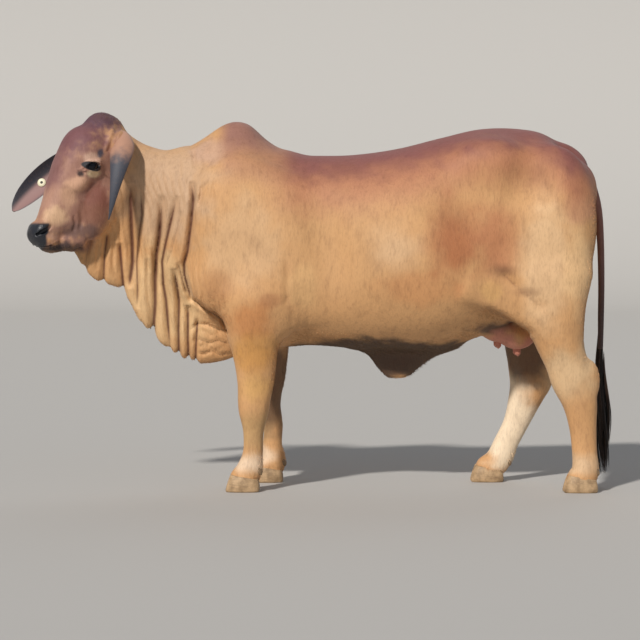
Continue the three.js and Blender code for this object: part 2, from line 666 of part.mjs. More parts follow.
/** A closed geometry as a solid, turned inside out first if its faces point in. */
function solid(geometry) {
  const plain = new THREE.BufferGeometry().copy(geometry);
  plain.deleteAttribute("normal");
  plain.deleteAttribute("uv");
  const merged = mergeVertices(plain, 1e-4);
  const vertProperties = new Float32Array(merged.attributes.position.array);
  const triVerts = new Uint32Array(merged.index.array);
  const build = () => new wasm.Manifold(new wasm.Mesh({ numProp: 3, vertProperties, triVerts }));
  const body = build();
  if (body.volume() > 0) return body;
  for (let k = 0; k < triVerts.length; k += 3) {
    [triVerts[k], triVerts[k + 1]] = [triVerts[k + 1], triVerts[k]];
  }
  return build();
}

function geometryOf(body) {
  const { vertProperties, triVerts } = body.getMesh();
  const geometry = new THREE.BufferGeometry();
  geometry.setAttribute("position", new THREE.BufferAttribute(vertProperties, 3));
  geometry.setIndex(new THREE.BufferAttribute(triVerts, 1));
  return geometry;
}

/** Draws points that share one place a little into the body, so that no edge there carries four faces. */
function partPinches(geometry) {
  geometry.computeVertexNormals();
  const { position, normal } = geometry.attributes;
  const groups = new Map();
  for (let k = 0; k < position.count; k += 1) {
    const key = [0, 1, 2].map((axis) => Math.round(position.array[3 * k + axis] / PINCH)).join();
    if (!groups.has(key)) groups.set(key, []);
    groups.get(key).push(k);
  }
  for (const group of groups.values()) {
    if (group.length < 2) continue;
    for (const k of group) {
      for (let axis = 0; axis < 3; axis += 1) position.array[3 * k + axis] -= PINCH * normal.array[3 * k + axis];
    }
  }
  geometry.deleteAttribute("normal");
}

/** A solid's geometry with its points on a fine lattice, and the slivers that this closes left out. */
function tidyGeometry(body) {
  const geometry = geometryOf(body);
  partPinches(geometry);
  const { array } = geometry.attributes.position;
  for (let k = 0; k < array.length; k += 1) array[k] = Math.round(array[k] / LATTICE) * LATTICE;
  const merged = mergeVertices(geometry, LATTICE / 10);
  const old = merged.index.array;
  const index = [];
  for (let k = 0; k < old.length; k += 3) {
    const [a, b, c] = [old[k], old[k + 1], old[k + 2]];
    if (a !== b && b !== c && c !== a) index.push(a, b, c);
  }
  merged.setIndex(index);
  return merged;
}

/** The largest of a solid's separate bodies. */
function largest(body) {
  const parts = body.decompose();
  return parts.reduce((best, part) => (part.volume() > best.volume() ? part : best));
}

/** A solid with its surface moved out by an amount. */
function grown(body, amount = GAP + 0.1) {
  const geometry = geometryOf(body);
  geometry.computeVertexNormals();
  const { position, normal } = geometry.attributes;
  for (let k = 0; k < position.array.length; k += 1) position.array[k] += amount * normal.array[k];
  return solid(geometry);
}

/** An outline with each edge moved out by an amount; its points run anticlockwise. */
function grownOutline(points, amount) {
  const line = points.map(([x, z], k) => {
    const [nextX, nextZ] = points[(k + 1) % points.length];
    const length = Math.hypot(nextX - x, nextZ - z);
    const [nx, nz] = [(nextZ - z) / length, (x - nextX) / length];
    return [nx, nz, nx * x + nz * z + amount];
  });
  return line.map(([a, b, c], k) => {
    const [d, e, f] = line.at(k - 1);
    const cross = a * e - b * d;
    return [(c * e - b * f) / cross, (a * f - c * d) / cross];
  });
}

/** A block with an outline of [x, z] points, running anticlockwise, between two values of Y. */
function block(points, [from, to], amount = 0) {
  const outline = grownOutline(points, amount).map(([x, z]) => new THREE.Vector2(x, z));
  const depth = to - from + 2 * amount;
  const geometry = new THREE.ExtrudeGeometry(new THREE.Shape(outline), { depth, bevelEnabled: false });
  geometry.rotateX(Math.PI / 2);
  return solid(geometry.translate(0, to + amount, 0));
}

/** Turns a geometry from the head's own frame into the animal's. */
function withHead(geometry) {
  geometry.rotateZ(THREE.MathUtils.degToRad(HEAD_YAW));
  return geometry.translate(...HEAD_PIVOT);
}

// Where the body is parted. Each outline is [x, z] points running anticlockwise, and a
// region gives way to those listed before it.

const WIDE = [-500, 500];
const LEFT = [-500, -90];
const RIGHT = [90, 500];

const regions = [
  {
    name: "head",
    inHeadFrame: true,
    outline: [[-470, 860], [-228, 860], [-212, 916], [-118, 990], [-34, 1120], [10, 1300], [26, 1540], [-470, 1540]],
    cell: 20.6,
  },
  { name: "hump", outline: [[-500, 1300], [-330, 1306], [-128, 1294], [-100, 1560], [-500, 1560]], cell: 40 },
  ...legRegions("left_fore", LEFT, { top: 610, middle: 300, upperX: -262, lowerX: -280, foot: -290 }),
  ...legRegions("right_fore", RIGHT, { top: 610, middle: 300, upperX: -222, lowerX: -204, foot: -205 }),
  ...legRegions("left_hind", LEFT, { top: 640, middle: 345, upperX: 955, lowerX: 1008, foot: 1008 }),
  ...legRegions("right_hind", RIGHT, { top: 640, middle: 325, upperX: 830, lowerX: 738, foot: 678 }),
  {
    name: "udder",
    outline: [[616, 440], [862, 440], [862, 664], [790, 632], [700, 604], [616, 584]],
    y: [-90, 90],
    cell: 34,
  },
  { name: "navel_flap", outline: [[90, 380], [600, 380], [580, 566], [500, 546], [420, 530], [90, 530]], cell: 29 },
  {
    name: "dewlap_throat",
    outline: [[-1100, 400], [-636, 400], [-636, 850], [-780, 930], [-900, 975], [-1100, 975]],
    cell: [15, 30, 54],
  },
  {
    name: "dewlap_brisket",
    outline: [[-640, 400], [-374, 400], [-374, 640], [-480, 730], [-640, 850]],
    cell: [15, 32, 54],
  },
  {
    name: "neck",
    outline: [[-1100, 600], [-560, 600], [-480, 740], [-440, 1000], [-500, 1300], [-500, 1600], [-1100, 1600]],
    cell: [21, 50, 74],
  },
  { name: "torso", outline: [[-1000, 300], [1300, 300], [1300, 1600], [-1000, 1600]], cell: [92, 66, 66] },
];

/** The upper and lower lengths of a leg, parted level above, at the middle joint, and along the coronet. */
function legRegions(name, y, { top, middle, upperX, lowerX, foot }) {
  const coronet = (x) => CORONET_HEIGHT - CORONET_SLOPE * (x - foot);
  const [back, front] = [lowerX - 130, lowerX + 130];
  return [
    {
      name: `${name}_leg_upper`,
      outline: [[upperX - 180, middle], [upperX + 180, middle], [upperX + 180, top], [upperX - 180, top]],
      y,
      cell: [36, 35, 58],
    },
    {
      name: `${name}_leg_lower`,
      outline: [[back, coronet(back)], [front, coronet(front)], [front, middle], [back, middle]],
      y,
      cell: [23, 24, 40],
    },
  ];
}

function regionSolid({ outline, y = WIDE, inHeadFrame }, amount = 0) {
  const body = block(outline, y, amount);
  return inHeadFrame ? solid(withHead(geometryOf(body))) : body;
}

/** The whole body meshed inside a region, and cut to it. */
function fleshOf(region, taken) {
  const space = regionSolid(region);
  const { min, max } = space.boundingBox();
  const margin = 3 * Math.max(...[region.cell].flat());
  const low = cow.box.min.toArray().map((v, k) => Math.max(v - margin, min[k] - margin));
  const high = cow.box.max.toArray().map((v, k) => Math.min(v + margin, max[k] + margin));
  const body = solid(new ShapeGeometry3D(cow, [low, high], region.cell)).intersect(space);
  return largest(taken.reduce((rest, other) => rest.subtract(other), body));
}

function partedFlesh() {
  const taken = [];
  return Object.fromEntries(
    regions.map((region) => {
      const body = fleshOf(region, taken);
      taken.push(regionSolid(region, GAP));
      return [region.name, body];
    }),
  );
}

// Head details

const LID_REACH = [42, 31, 27]; // half-axes of both lids over the ball
const LID_OPENING = [35, 15, 13.5]; // of the almond between them

/** An ellipsoid about the eye, its front corner lower, moved out by an amount. */
function aboutEye(side, radii, out, twist) {
  const [x, y, z] = EYE_CENTRE;
  const body = new THREE.SphereGeometry(1, 12, 7).rotateX(Math.PI / 2).scale(...radii);
  body.rotateZ(THREE.MathUtils.degToRad(-twist * side)).rotateY(THREE.MathUtils.degToRad(-13));
  return solid(withHead(body.translate(x - 3, side * (y + out), z)));
}

function eyeball(side, extra = 0) {
  const ball = new THREE.SphereGeometry(EYE_RADIUS + extra, 12, 8);
  return withHead(ball.translate(EYE_CENTRE[0], side * EYE_CENTRE[1], EYE_CENTRE[2]));
}

function nostril(side) {
  const hole = new THREE.SphereGeometry(1, 10, 7).scale(19, 10, 9);
  hole.rotateY(0.7).rotateZ(side * 0.5);
  return withHead(hole.translate(-338, side * 40, 1009));
}

/** The slit between the lips, back to the corners of the mouth. */
function mouthSlit() {
  const outline = [[-400, 942], [-342, 943], [-290, 952], [-236, 982], [-292, 955], [-342, 946], [-400, 946]];
  return withHead(geometryOf(block(outline, [-90, 90])));
}

function finishHead(skin) {
  let body = skin;
  for (const side of [-1, 1]) {
    body = body.add(aboutEye(side, LID_REACH, 0, 6));
    body = body.subtract(aboutEye(side, LID_OPENING, 28, 10));
    body = body.subtract(solid(eyeball(side, GAP)));
    body = body.subtract(solid(nostril(side)));
  }
  return largest(body.subtract(solid(mouthSlit())));
}

/** A cupped, hanging leaf of an ear: its edges bend towards `facing`. */
class Ear {
  constructor(line, facing, spread) {
    this.curve = new THREE.CubicBezierCurve3(...line.map((p) => new THREE.Vector3(...p)));
    this.facing = new THREE.Vector3(...facing).normalize();
    this.spread = spread; // shares of the length, and the share of the full width at each
  }
  frame(t) {
    const along = this.curve.getTangentAt(t);
    const inward = this.facing.clone().addScaledVector(along, -along.dot(this.facing)).normalize();
    return { at: this.curve.getPointAt(t), inward, across: new THREE.Vector3().crossVectors(along, inward) };
  }
  width(t) {
    return EAR_WIDTH * through(...this.spread, t);
  }
  cup(t) {
    return through([0, 0.2, 0.5, 1], [4.2, 2.6, 1.6, 1], t);
  }
  /** A point of the outer face, or of the inner one, `s` from -1 to 1 across the ear. */
  point(t, s, inner) {
    const { at, inward, across } = this.frame(t);
    const angle = (s * this.cup(t)) / 2;
    const radius = this.width(t) / this.cup(t);
    const thick = inner ? (10 - 3 * t) * (1 - 0.6 * s * s) : 0;
    const out = across.clone().multiplyScalar(Math.sin(angle) * (radius - thick));
    return at.clone().add(out).addScaledVector(inward, radius - Math.cos(angle) * (radius - thick));
  }
  geometry(steps = 10, faces = 6) {
    const rings = Array.from({ length: steps + 1 }, (_, k) => {
      const t = k / steps;
      const row = Array.from({ length: faces + 1 }, (_, n) => (2 * n) / faces - 1);
      const outer = row.map((s) => this.point(t, s, false));
      const inner = row.toReversed().map((s) => this.point(t, s, true));
      return [...outer, ...inner];
    });
    return new LoftGeometry(rings);
  }
}

const leftEar = new Ear(
  [[-792, -60, 1368], [-748, -180, 1396], [-768, -272, 1196], [-808, -205, 1046]],
  [0.12, 0.99, 0],
  [[0, 0.12, 0.24, 0.34, 0.46, 0.58, 0.72, 0.86, 1], [0.62, 0.9, 1.08, 0.98, 0.76, 0.56, 0.36, 0.2, 0.05]],
);
const rightEar = new Ear(
  [[-880, 56, 1340], [-975, 160, 1308], [-1110, 176, 1222], [-1218, 120, 1080]],
  [-0.4, -0.9, -0.1],
  [[0, 0.15, 0.4, 0.62, 0.82, 0.95, 1], [0.5, 0.7, 0.97, 1, 0.8, 0.44, 0.12]],
);

/** A round button of the tag, on the inner or the outer face of the right ear. */
function tagButton(radius, thick, inner) {
  const profile = [[0, 0], [radius, 0], [radius, thick * 0.6], [radius * 0.86, thick], [0, thick]];
  const button = new THREE.LatheGeometry(profile.map(([x, y]) => new THREE.Vector2(x, y)), 14);
  const { inward } = rightEar.frame(TAG_PLACE);
  const out = inner ? inward : inward.clone().negate();
  button.applyQuaternion(new THREE.Quaternion().setFromUnitVectors(new THREE.Vector3(0, 1, 0), out));
  return button.translate(...rightEar.point(TAG_PLACE, TAG_ACROSS, inner).toArray());
}

// Claws, dewclaws, teats, tail

/** Half of a cloven hoof: flat sole, upright inner wall, toe drawn forward. */
function claw(x, y, out) {
  const levels = [
    { share: 0, toe: 72, heel: 54, inner: 3, outer: 50 },
    { share: 0.12, toe: 73, heel: 57, inner: 2.5, outer: 53 },
    { share: 0.6, toe: 64, heel: 56, inner: 2.5, outer: 53 },
    { share: 1, toe: 54, heel: 51, inner: 3, outer: 48 },
  ];
  const sides = 10;
  const rings = levels.map(({ share, toe, heel, inner, outer }) =>
    Array.from({ length: sides }, (_, k) => {
      const angle = (2 * Math.PI * k) / sides;
      const [c, n] = [Math.cos(angle), Math.sin(angle)];
      const px = c > 0 ? c * heel : c * toe;
      const middle = (inner + outer) / 2 - (c < 0 ? c * c * 5 : 0);
      const side = n < 0 ? middle - inner : outer - middle;
      const square = Math.sign(n) * Math.abs(n) ** 0.7;
      const top = CORONET_HEIGHT - GAP - CORONET_SLOPE * px;
      return new THREE.Vector3(x + px, y + out * (middle + square * side), share * top);
    }),
  );
  return new LoftGeometry(rings);
}

function dewclaw(x, y, z) {
  const horn = new THREE.CylinderGeometry(10, 6, 30, 6);
  return horn.rotateX(Math.PI / 2).rotateY(-0.7).translate(x, y, z);
}

/** A closed tube along a curve; radii are read off at even shares of its length. */
function tube(points, radii, { sides = 8, steps = 16 } = {}) {
  const curve = new THREE.CatmullRomCurve3(points.map((p) => new THREE.Vector3(...p)));
  const { normals, binormals } = curve.computeFrenetFrames(steps);
  const shares = radii.map((_, k) => k / (radii.length - 1));
  const rings = Array.from({ length: steps + 1 }, (_, k) => {
    const radius = through(shares, radii, k / steps);
    return Array.from({ length: sides }, (_, n) => {
      const angle = (2 * Math.PI * n) / sides;
      const point = curve.getPointAt(k / steps);
      point.addScaledVector(normals[k], radius * Math.cos(angle));
      return point.addScaledVector(binormals[k], radius * Math.sin(angle));
    });
  });
  return new LoftGeometry(rings);
}

function teat(x, y, top, length) {
  const profile = [[0, -length], [8, -length + 2], [11.5, -length * 0.7], [12.5, 0], [14, 12], [0, 14]];
  const body = new THREE.LatheGeometry(profile.map(([r, h]) => new THREE.Vector2(r, h)), 9);
  return body.rotateX(Math.PI / 2).translate(x, y, top);
}

const TAIL_LINE = [
  [996, 0, 1268],
  [1034, 0, 1226],
  [1066, 0, 1160],
  [1088, 0, 1080],
  [1099, 0, 960],
  [1103, 0, 800],
  [1102, 0, 660],
  [1101, 0, 566],
];
const TAIL_RADII = [34, 29, 23, 18, 15, 13.5, 13, 13];
const SWITCH_TOP = 565.7;
const CORE_RADII = [13, 15, 13, 9, 4];

/** Middle of the switch at a height: it leans back a little towards the tip. */
function switchX(z) {
  return 1101 + 17 * THREE.MathUtils.clamp((330 - z) / 280, 0, 1) ** 1.5;
}

/** A flat lock of hair: four-sided, rooted in the core, swelling out, then drawn to a point. */
function lock(turn, from, to, out) {
  const steps = 4;
  const away = new THREE.Vector3(Math.cos(turn), Math.sin(turn), 0);
  const across = new THREE.Vector3(-Math.sin(turn), Math.cos(turn), 0);
  const rings = Array.from({ length: steps + 1 }, (_, k) => {
    const t = k / steps;
    const z = from + (to - from) * t;
    const reach = 5 + out * Math.sin(Math.PI * Math.min(0.12 + 0.72 * t, 1));
    const middle = new THREE.Vector3(switchX(z), 0, z).addScaledVector(away, reach);
    middle.addScaledVector(across, 4 * Math.sin(5 * t + 2 * turn));
    const wide = 12 * (0.45 + 0.75 * Math.sin(Math.PI * t)) * (1 - 0.75 * t ** 3);
    const sides = [[across, wide], [away, 4 - 2 * t], [across, -wide], [away, -4 + 2 * t]];
    return sides.map(([axis, by]) => middle.clone().addScaledVector(axis, by));
  });
  return new LoftGeometry(rings);
}

/** The switch: locks of many lengths round a core that reaches half way to their tips. */
function switchBody() {
  const half = (SWITCH_TOP + TAIL_TIP_HEIGHT) / 2;
  const line = [0, 1, 2, 3].map((k) => SWITCH_TOP + ((half - SWITCH_TOP) * k) / 3);
  let body = solid(tube(line.map((z) => [switchX(z), 0, z]), CORE_RADII, { sides: 7, steps: 5 }));
  for (let k = 0; k < SWITCH_LOCKS; k += 1) {
    const share = (k + 0.5) / SWITCH_LOCKS;
    const from = SWITCH_TOP - 8 - 190 * share;
    const to = TAIL_TIP_HEIGHT + 250 * (1 - share) ** 1.6 + 34 * Math.abs(Math.sin(3 * k)) * (k < SWITCH_LOCKS - 1);
    body = body.add(solid(lock(2.4 * k, from, to, 17 + 5 * share)));
  }
  return largest(body);
}

const TEAT_X = { rear: 772, fore: 696 };
const TEAT_ROOT = { rear: 552, fore: 580 };

// Materials

const finish = (colour, roughness) => new THREE.MeshStandardMaterial({ color: colour, roughness, metalness: 0 });
const coat = finish("#c68f5c", 0.85);
const darkCoat = finish("#9a604c", 0.85);
const paleCoat = finish("#dcb384", 0.85);
const earSkin = finish("#8a6a66", 0.8);
const udderSkin = finish("#d69b74", 0.7);
const hornFinish = finish("#b39a78", 0.5);
const eyeFinish = finish("#15100d", 0.08);
const switchFinish = finish("#2c2826", 0.75);
const tagShell = finish("#e9e2c4", 0.45);

// Assembly

const animal = new THREE.Group();

function addNode(name, body, material) {
  const mesh = new THREE.Mesh(tidyGeometry(body), material);
  mesh.name = name;
  animal.add(mesh);
}

const flesh = partedFlesh();

flesh.head = finishHead(flesh.head);

for (const [x, length] of [[TEAT_X.rear, 38], [TEAT_X.fore, 36]]) {
  for (const y of [-42, 42]) {
    flesh.udder = flesh.udder.add(solid(teat(x, y, TEAT_ROOT[x === TEAT_X.rear ? "rear" : "fore"], length)));
  }
}

for (const { name } of regions) {
  const material = name === "udder" ? udderSkin : name.endsWith("lower") ? paleCoat : coat;
  addNode(name, flesh[name], name === "head" || name === "hump" ? darkCoat : material);
}

// The ears, their tag and the eyes
const solids = { leftEar: solid(leftEar.geometry()), rightEar: solid(rightEar.geometry()) };
const headRoom = grown(flesh.head);
const neckRoom = grown(flesh.neck);
const cutEar = (ear) => largest(ear.subtract(headRoom).subtract(neckRoom));
const rightEarBody = cutEar(solids.rightEar);
addNode("left_ear", cutEar(solids.leftEar), earSkin);
addNode("right_ear", rightEarBody, earSkin);
const earRoom = grown(rightEarBody);
addNode("ear_tag_front", largest(solid(tagButton(TAG_RADIUS, 6, true)).subtract(earRoom)), tagShell);
addNode("ear_tag_back", largest(solid(tagButton(TAG_RADIUS * 0.75, 6, false)).subtract(earRoom)), tagShell);
addNode("left_eye", solid(eyeball(-1)), eyeFinish);
addNode("right_eye", solid(eyeball(1)), eyeFinish);

// The feet
const feet = [
  { leg: "left_fore", x: -290, y: -168, fetlock: -274 },
  { leg: "right_fore", x: -205, y: 160, fetlock: -187 },
  { leg: "left_hind", x: 1008, y: -190, fetlock: 1020 },
  { leg: "right_hind", x: 678, y: 175, fetlock: 714 },
];
for (const { leg, x, y, fetlock } of feet) {
  const legRoom = grown(flesh[`${leg}_leg_lower`]);
  for (const [side, out] of [["left", -1], ["right", 1]]) {
    addNode(`${leg}_claw_${side}`, solid(claw(x, y, out)), hornFinish);
    const horn = solid(dewclaw(fetlock + 46, y + out * 20, 80)).subtract(legRoom);
    addNode(`${leg}_dewclaw_${side}`, largest(horn), hornFinish);
  }
}

// The tail
const torsoRoom = grown(flesh.torso);
addNode("tail", largest(solid(tube(TAIL_LINE, TAIL_RADII, { steps: 18 })).subtract(torsoRoom)), darkCoat);
addNode("tail_switch", switchBody(), switchFinish);

// The origin lies under the middle of the animal's bounding box
const box = new THREE.Box3().setFromObject(animal);
animal.position.set(-(box.min.x + box.max.x) / 2, -(box.min.y + box.max.y) / 2, -box.min.z);

export default animal;
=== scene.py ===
"""Blender scene of a life-size red Brahman cow, dressed round its CAD frame.

The body is described as signed distances to named masses of bone, muscle and fat, in
millimetres, with the head towards -X and the animal's left side towards -Y. One skin is
meshed from them, and hair, horn, eyes and the ear tag are built on it.
"""

import logging
import math
from dataclasses import dataclass, field, replace
from enum import Enum
from typing import Callable, Protocol, Sequence

import bmesh
import bpy
import numpy as np
from mathutils import Euler, Matrix, Vector, noise


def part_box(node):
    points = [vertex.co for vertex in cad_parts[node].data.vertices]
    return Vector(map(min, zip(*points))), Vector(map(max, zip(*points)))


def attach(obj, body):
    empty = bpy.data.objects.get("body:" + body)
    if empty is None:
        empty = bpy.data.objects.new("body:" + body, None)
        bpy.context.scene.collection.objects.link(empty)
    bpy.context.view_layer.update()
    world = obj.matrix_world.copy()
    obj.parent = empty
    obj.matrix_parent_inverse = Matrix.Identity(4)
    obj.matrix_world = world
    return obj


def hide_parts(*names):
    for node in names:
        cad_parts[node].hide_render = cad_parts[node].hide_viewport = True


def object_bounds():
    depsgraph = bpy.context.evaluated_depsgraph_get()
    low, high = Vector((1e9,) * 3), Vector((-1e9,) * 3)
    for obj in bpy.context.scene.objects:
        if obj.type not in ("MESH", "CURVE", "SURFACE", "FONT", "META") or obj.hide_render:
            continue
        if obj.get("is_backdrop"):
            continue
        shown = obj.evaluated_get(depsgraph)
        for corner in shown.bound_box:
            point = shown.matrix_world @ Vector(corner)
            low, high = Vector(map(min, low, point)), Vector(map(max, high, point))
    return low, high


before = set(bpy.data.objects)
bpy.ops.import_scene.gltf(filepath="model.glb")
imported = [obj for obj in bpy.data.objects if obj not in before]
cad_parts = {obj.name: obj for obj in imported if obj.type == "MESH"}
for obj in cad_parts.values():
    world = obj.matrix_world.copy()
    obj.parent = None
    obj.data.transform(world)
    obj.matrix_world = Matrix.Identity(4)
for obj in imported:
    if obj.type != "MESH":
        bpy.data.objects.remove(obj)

log = logging.getLogger("brahman")

MM = 0.001
SLACK = 40.0  # the distances of slender shapes fall short of their boxes' by up to this
FAR = 1e3

Point = Sequence[float]


# Signed distances, negative inside the body, for arrays of points in millimetres


def join(a: np.ndarray, b: np.ndarray, blend: float) -> np.ndarray:
    """Joins two distances and rounds the valley between them over `blend` millimetres."""
    h = np.maximum(blend - np.abs(a - b), 0.0) / blend
    return np.minimum(a, b) - h * h * blend / 4


def section_distance(
    u: np.ndarray,
    v: np.ndarray,
    w: np.ndarray,
    a: np.ndarray,
    b: np.ndarray,
    c: np.ndarray,
    square: float,
) -> np.ndarray:
    """Distance to a body of rounded section.

    Args:
        u: Offsets along the first half-axis.
        v: Offsets along the second half-axis.
        w: Offsets past the ends.
        a: First half-axis.
        b: Second half-axis.
        c: Reach past the ends.
        square: 2 for an ellipse, and more to fill its corners.

    Returns:
        Signed distances.
    """
    p, q = np.abs(u) / a, np.abs(v) / b
    flat = (p**square + q**square) ** (1 / square)
    rho = np.sqrt(flat * flat + (w / c) ** 2)
    turn = np.maximum(flat, 1e-9) ** (2 - square)
    slope = np.sqrt(
        (turn * p ** (square - 1) / a) ** 2 + (turn * q ** (square - 1) / b) ** 2 + (w / (c * c)) ** 2
    )
    return np.where(rho < 1e-4, -np.minimum(a, b), (rho - 1) * rho / np.maximum(slope, 1e-9))


def through(places: Sequence[float], values: Sequence[float], at: np.ndarray) -> np.ndarray:
    """Slope-continuous curve through values at uneven places.

    Args:
        places: Rising places of the values.
        values: The values.
        at: Where to read the curve.

    Returns:
        The curve's values there.
    """
    p, v = np.asarray(places, float), np.asarray(values, float)
    at = np.asarray(at, float)
    last = len(p) - 1
    low = np.maximum(np.arange(last + 1) - 1, 0)
    high = np.minimum(np.arange(last + 1) + 1, last)
    slopes = (v[high] - v[low]) / (p[high] - p[low])
    i = np.clip(np.searchsorted(p, at, side="left") - 1, 0, last - 1)
    span = p[i + 1] - p[i]
    t = (at - p[i]) / span
    m0, m1 = slopes[i] * span, slopes[i + 1] * span
    rise = v[i + 1] - v[i]
    return v[i] + t * (m0 + t * (3 * rise - 2 * m0 - m1 + t * (m0 + m1 - 2 * rise)))


@dataclass
class Box:
    """An upright box.

    Attributes:
        low: Lowest corner.
        high: Highest corner.
    """

    low: np.ndarray
    high: np.ndarray

    @staticmethod
    def around(points: Sequence[Point], margin: float) -> "Box":
        """The box round points, grown by a margin."""
        array = np.asarray(points, float)
        return Box(array.min(axis=0) - margin, array.max(axis=0) + margin)

    def distance(self, points: np.ndarray) -> np.ndarray:
        """Least distance from each point to the box, nothing inside it."""
        out = np.maximum(np.maximum(self.low - points, points - self.high), 0.0)
        return np.sqrt((out * out).sum(axis=1))

    def union(self, other: "Box") -> "Box":
        """The box round both boxes."""
        return Box(np.minimum(self.low, other.low), np.maximum(self.high, other.high))


class Shape(Protocol):
    """A form with a box and a signed distance."""

    box: Box

    def distance(self, points: np.ndarray) -> np.ndarray:
        """Signed distances at points."""


class Mass:
    """An ellipsoid of muscle, fat or bone, turned by degrees about X, Y, then Z."""

    def __init__(self, centre: Point, radii: Point, turn: Point = (0, 0, 0)) -> None:
        """Stores the centre, the radii and the turn."""
        self.centre = np.asarray(centre, float)
        self.radii = np.asarray(radii, float)
        matrix = Euler([math.radians(angle) for angle in turn], "XYZ").to_matrix()
        self.inverse = np.array(matrix.transposed())
        self.box = Box.around([centre], max(radii))

    def distance(self, points: np.ndarray) -> np.ndarray:
        """Signed distances at points."""
        local = (points - self.centre) @ self.inverse.T
        near = np.sqrt(((local / self.radii) ** 2).sum(axis=1))
        slope = np.sqrt(((local / self.radii**2) ** 2).sum(axis=1))
        return np.where(slope < 1e-9, -self.radii.min(), near * (near - 1) / np.maximum(slope, 1e-9))


@dataclass
class Slice:
    """An upright slice of a form at one X.

    Attributes:
        x: Its place.
        z: Height of its middle.
        wide: Half-width.
        up: Reach above the middle.
        down: Reach below the middle.
        y: Offset of its middle to the animal's right.
    """

    x: float
    z: float
    wide: float
    up: float
    down: float
    y: float = 0.0


class Slices:
    """A form cut into upright slices along X."""

    def __init__(self, stations: Sequence[Slice], square: float = 2.0) -> None:
        """Stores the stations; `square` above 2 fills the corners of the section."""
        self.places = np.array([s.x for s in stations], float)
        self.square = square
        self.fine = np.linspace(self.places[0], self.places[-1], 400)
        self.columns = {
            key: through(self.places, [getattr(s, key) for s in stations], self.fine)
            for key in ("z", "wide", "up", "down", "y")
        }
        corners = []
        for s in stations:
            cap = min(s.wide, s.up, s.down)
            corners += [(s.x - cap, s.y - s.wide, s.z - s.down), (s.x + cap, s.y + s.wide, s.z + s.up)]
        self.box = Box.around(corners, 4)

    def distance(self, points: np.ndarray) -> np.ndarray:
        """Signed distances at points."""
        x = np.clip(points[:, 0], self.places[0], self.places[-1])
        z, wide, up, down, y = (
            np.interp(x, self.fine, self.columns[k]) for k in ("z", "wide", "up", "down", "y")
        )
        v = points[:, 2] - z
        cap = np.minimum(np.minimum(wide, up), down)
        reach = np.where(v > 0, up, down)
        return section_distance(points[:, 1] - y, v, points[:, 0] - x, wide, reach, cap, self.square)


@dataclass
class Joint:
    """A station of a limb.

    Attributes:
        at: Its place.
        wide: Half-width sideways.
        fore: Half-width to the front of the limb.
        aft: Half-width to its back.
    """

    at: Point
    wide: float
    fore: float
    aft: float


class Limb:
    """A form strung along a smooth line, in the plane at right angles to `side`."""

    def __init__(
        self, joints: Sequence[Joint], side: Point = (0, 1, 0), square: float = 2.0, steps: int = 6
    ) -> None:
        """Samples the line and its cross-sections."""
        index = np.arange(len(joints), dtype=float)
        t = np.arange((len(joints) - 1) * steps + 1) / steps
        self.square = square
        self.at = np.stack([through(index, [j.at[k] for j in joints], t) for k in range(3)], axis=1)
        self.wide = through(index, [j.wide for j in joints], t)
        self.fore = through(index, [j.fore for j in joints], t)
        self.aft = through(index, [j.aft for j in joints], t)
        along = np.empty_like(self.at)
        along[1:-1] = self.at[2:] - self.at[:-2]
        along[0], along[-1] = self.at[1] - self.at[0], self.at[-1] - self.at[-2]
        self.along = along / np.linalg.norm(along, axis=1, keepdims=True)
        lateral = np.asarray(side, float) - self.along * (self.along @ np.asarray(side, float))[:, None]
        self.side = lateral / np.linalg.norm(lateral, axis=1, keepdims=True)
        self.front = np.cross(self.along, self.side)
        self.box = Box.around([j.at for j in joints], max(max(j.wide, j.fore, j.aft) for j in joints))

    def nearest(self, points: np.ndarray) -> tuple[np.ndarray, np.ndarray]:
        """Finds the nearest stretch of the line and the share along it for each point."""
        best = np.full(len(points), np.inf)
        place, share = np.zeros(len(points), int), np.zeros(len(points))
        for k in range(len(self.at) - 1):
            a, d = self.at[k], self.at[k + 1] - self.at[k]
            p = points - a
            t = np.clip(p @ d / (d @ d), 0, 1)
            q = p - t[:, None] * d
            far = (q * q).sum(axis=1)
            closer = far < best
            best[closer], place[closer], share[closer] = far[closer], k, t[closer]
        return place, share

    def distance(self, points: np.ndarray) -> np.ndarray:
        """Signed distances at points."""
        k, t = self.nearest(points)

        def mix(values: np.ndarray) -> np.ndarray:
            """The values between a stretch's two ends."""
            s = t if values.ndim == 1 else t[:, None]
            return values[k] + (values[k + 1] - values[k]) * s

        offset = points - mix(self.at)
        u, v, w = ((offset * mix(axis)).sum(axis=1) for axis in (self.side, self.front, self.along))
        wide = mix(self.wide)
        reach = np.where(v > 0, mix(self.fore), mix(self.aft))
        return section_distance(u, v, w, wide, reach, np.minimum(wide, reach), self.square)


class Turned:
    """A shape turned by degrees about the upright line through a pivot."""

    def __init__(self, shape: Shape, pivot: Point, yaw: float) -> None:
        """Stores the shape and its turn."""
        self.shape = shape
        self.pivot = np.asarray(pivot, float)
        self.matrix = np.array(Matrix.Rotation(math.radians(yaw), 3, "Z"))
        low, high = shape.box.low, shape.box.high
        corners = [(x, y, z) for x in (low[0], high[0]) for y in (low[1], high[1]) for z in (low[2], high[2])]
        self.box = Box.around(self.to_world(np.array(corners)), 0)

    def to_world(self, points: np.ndarray) -> np.ndarray:
        """Points of the turned frame in the animal's."""
        return np.asarray(points, float) @ self.matrix.T + self.pivot

    def to_local(self, points: np.ndarray) -> np.ndarray:
        """Points of the animal's frame in the turned one."""
        return (points - self.pivot) @ self.matrix

    def distance(self, points: np.ndarray) -> np.ndarray:
        """Signed distances at points."""
        return self.shape.distance(self.to_local(points))


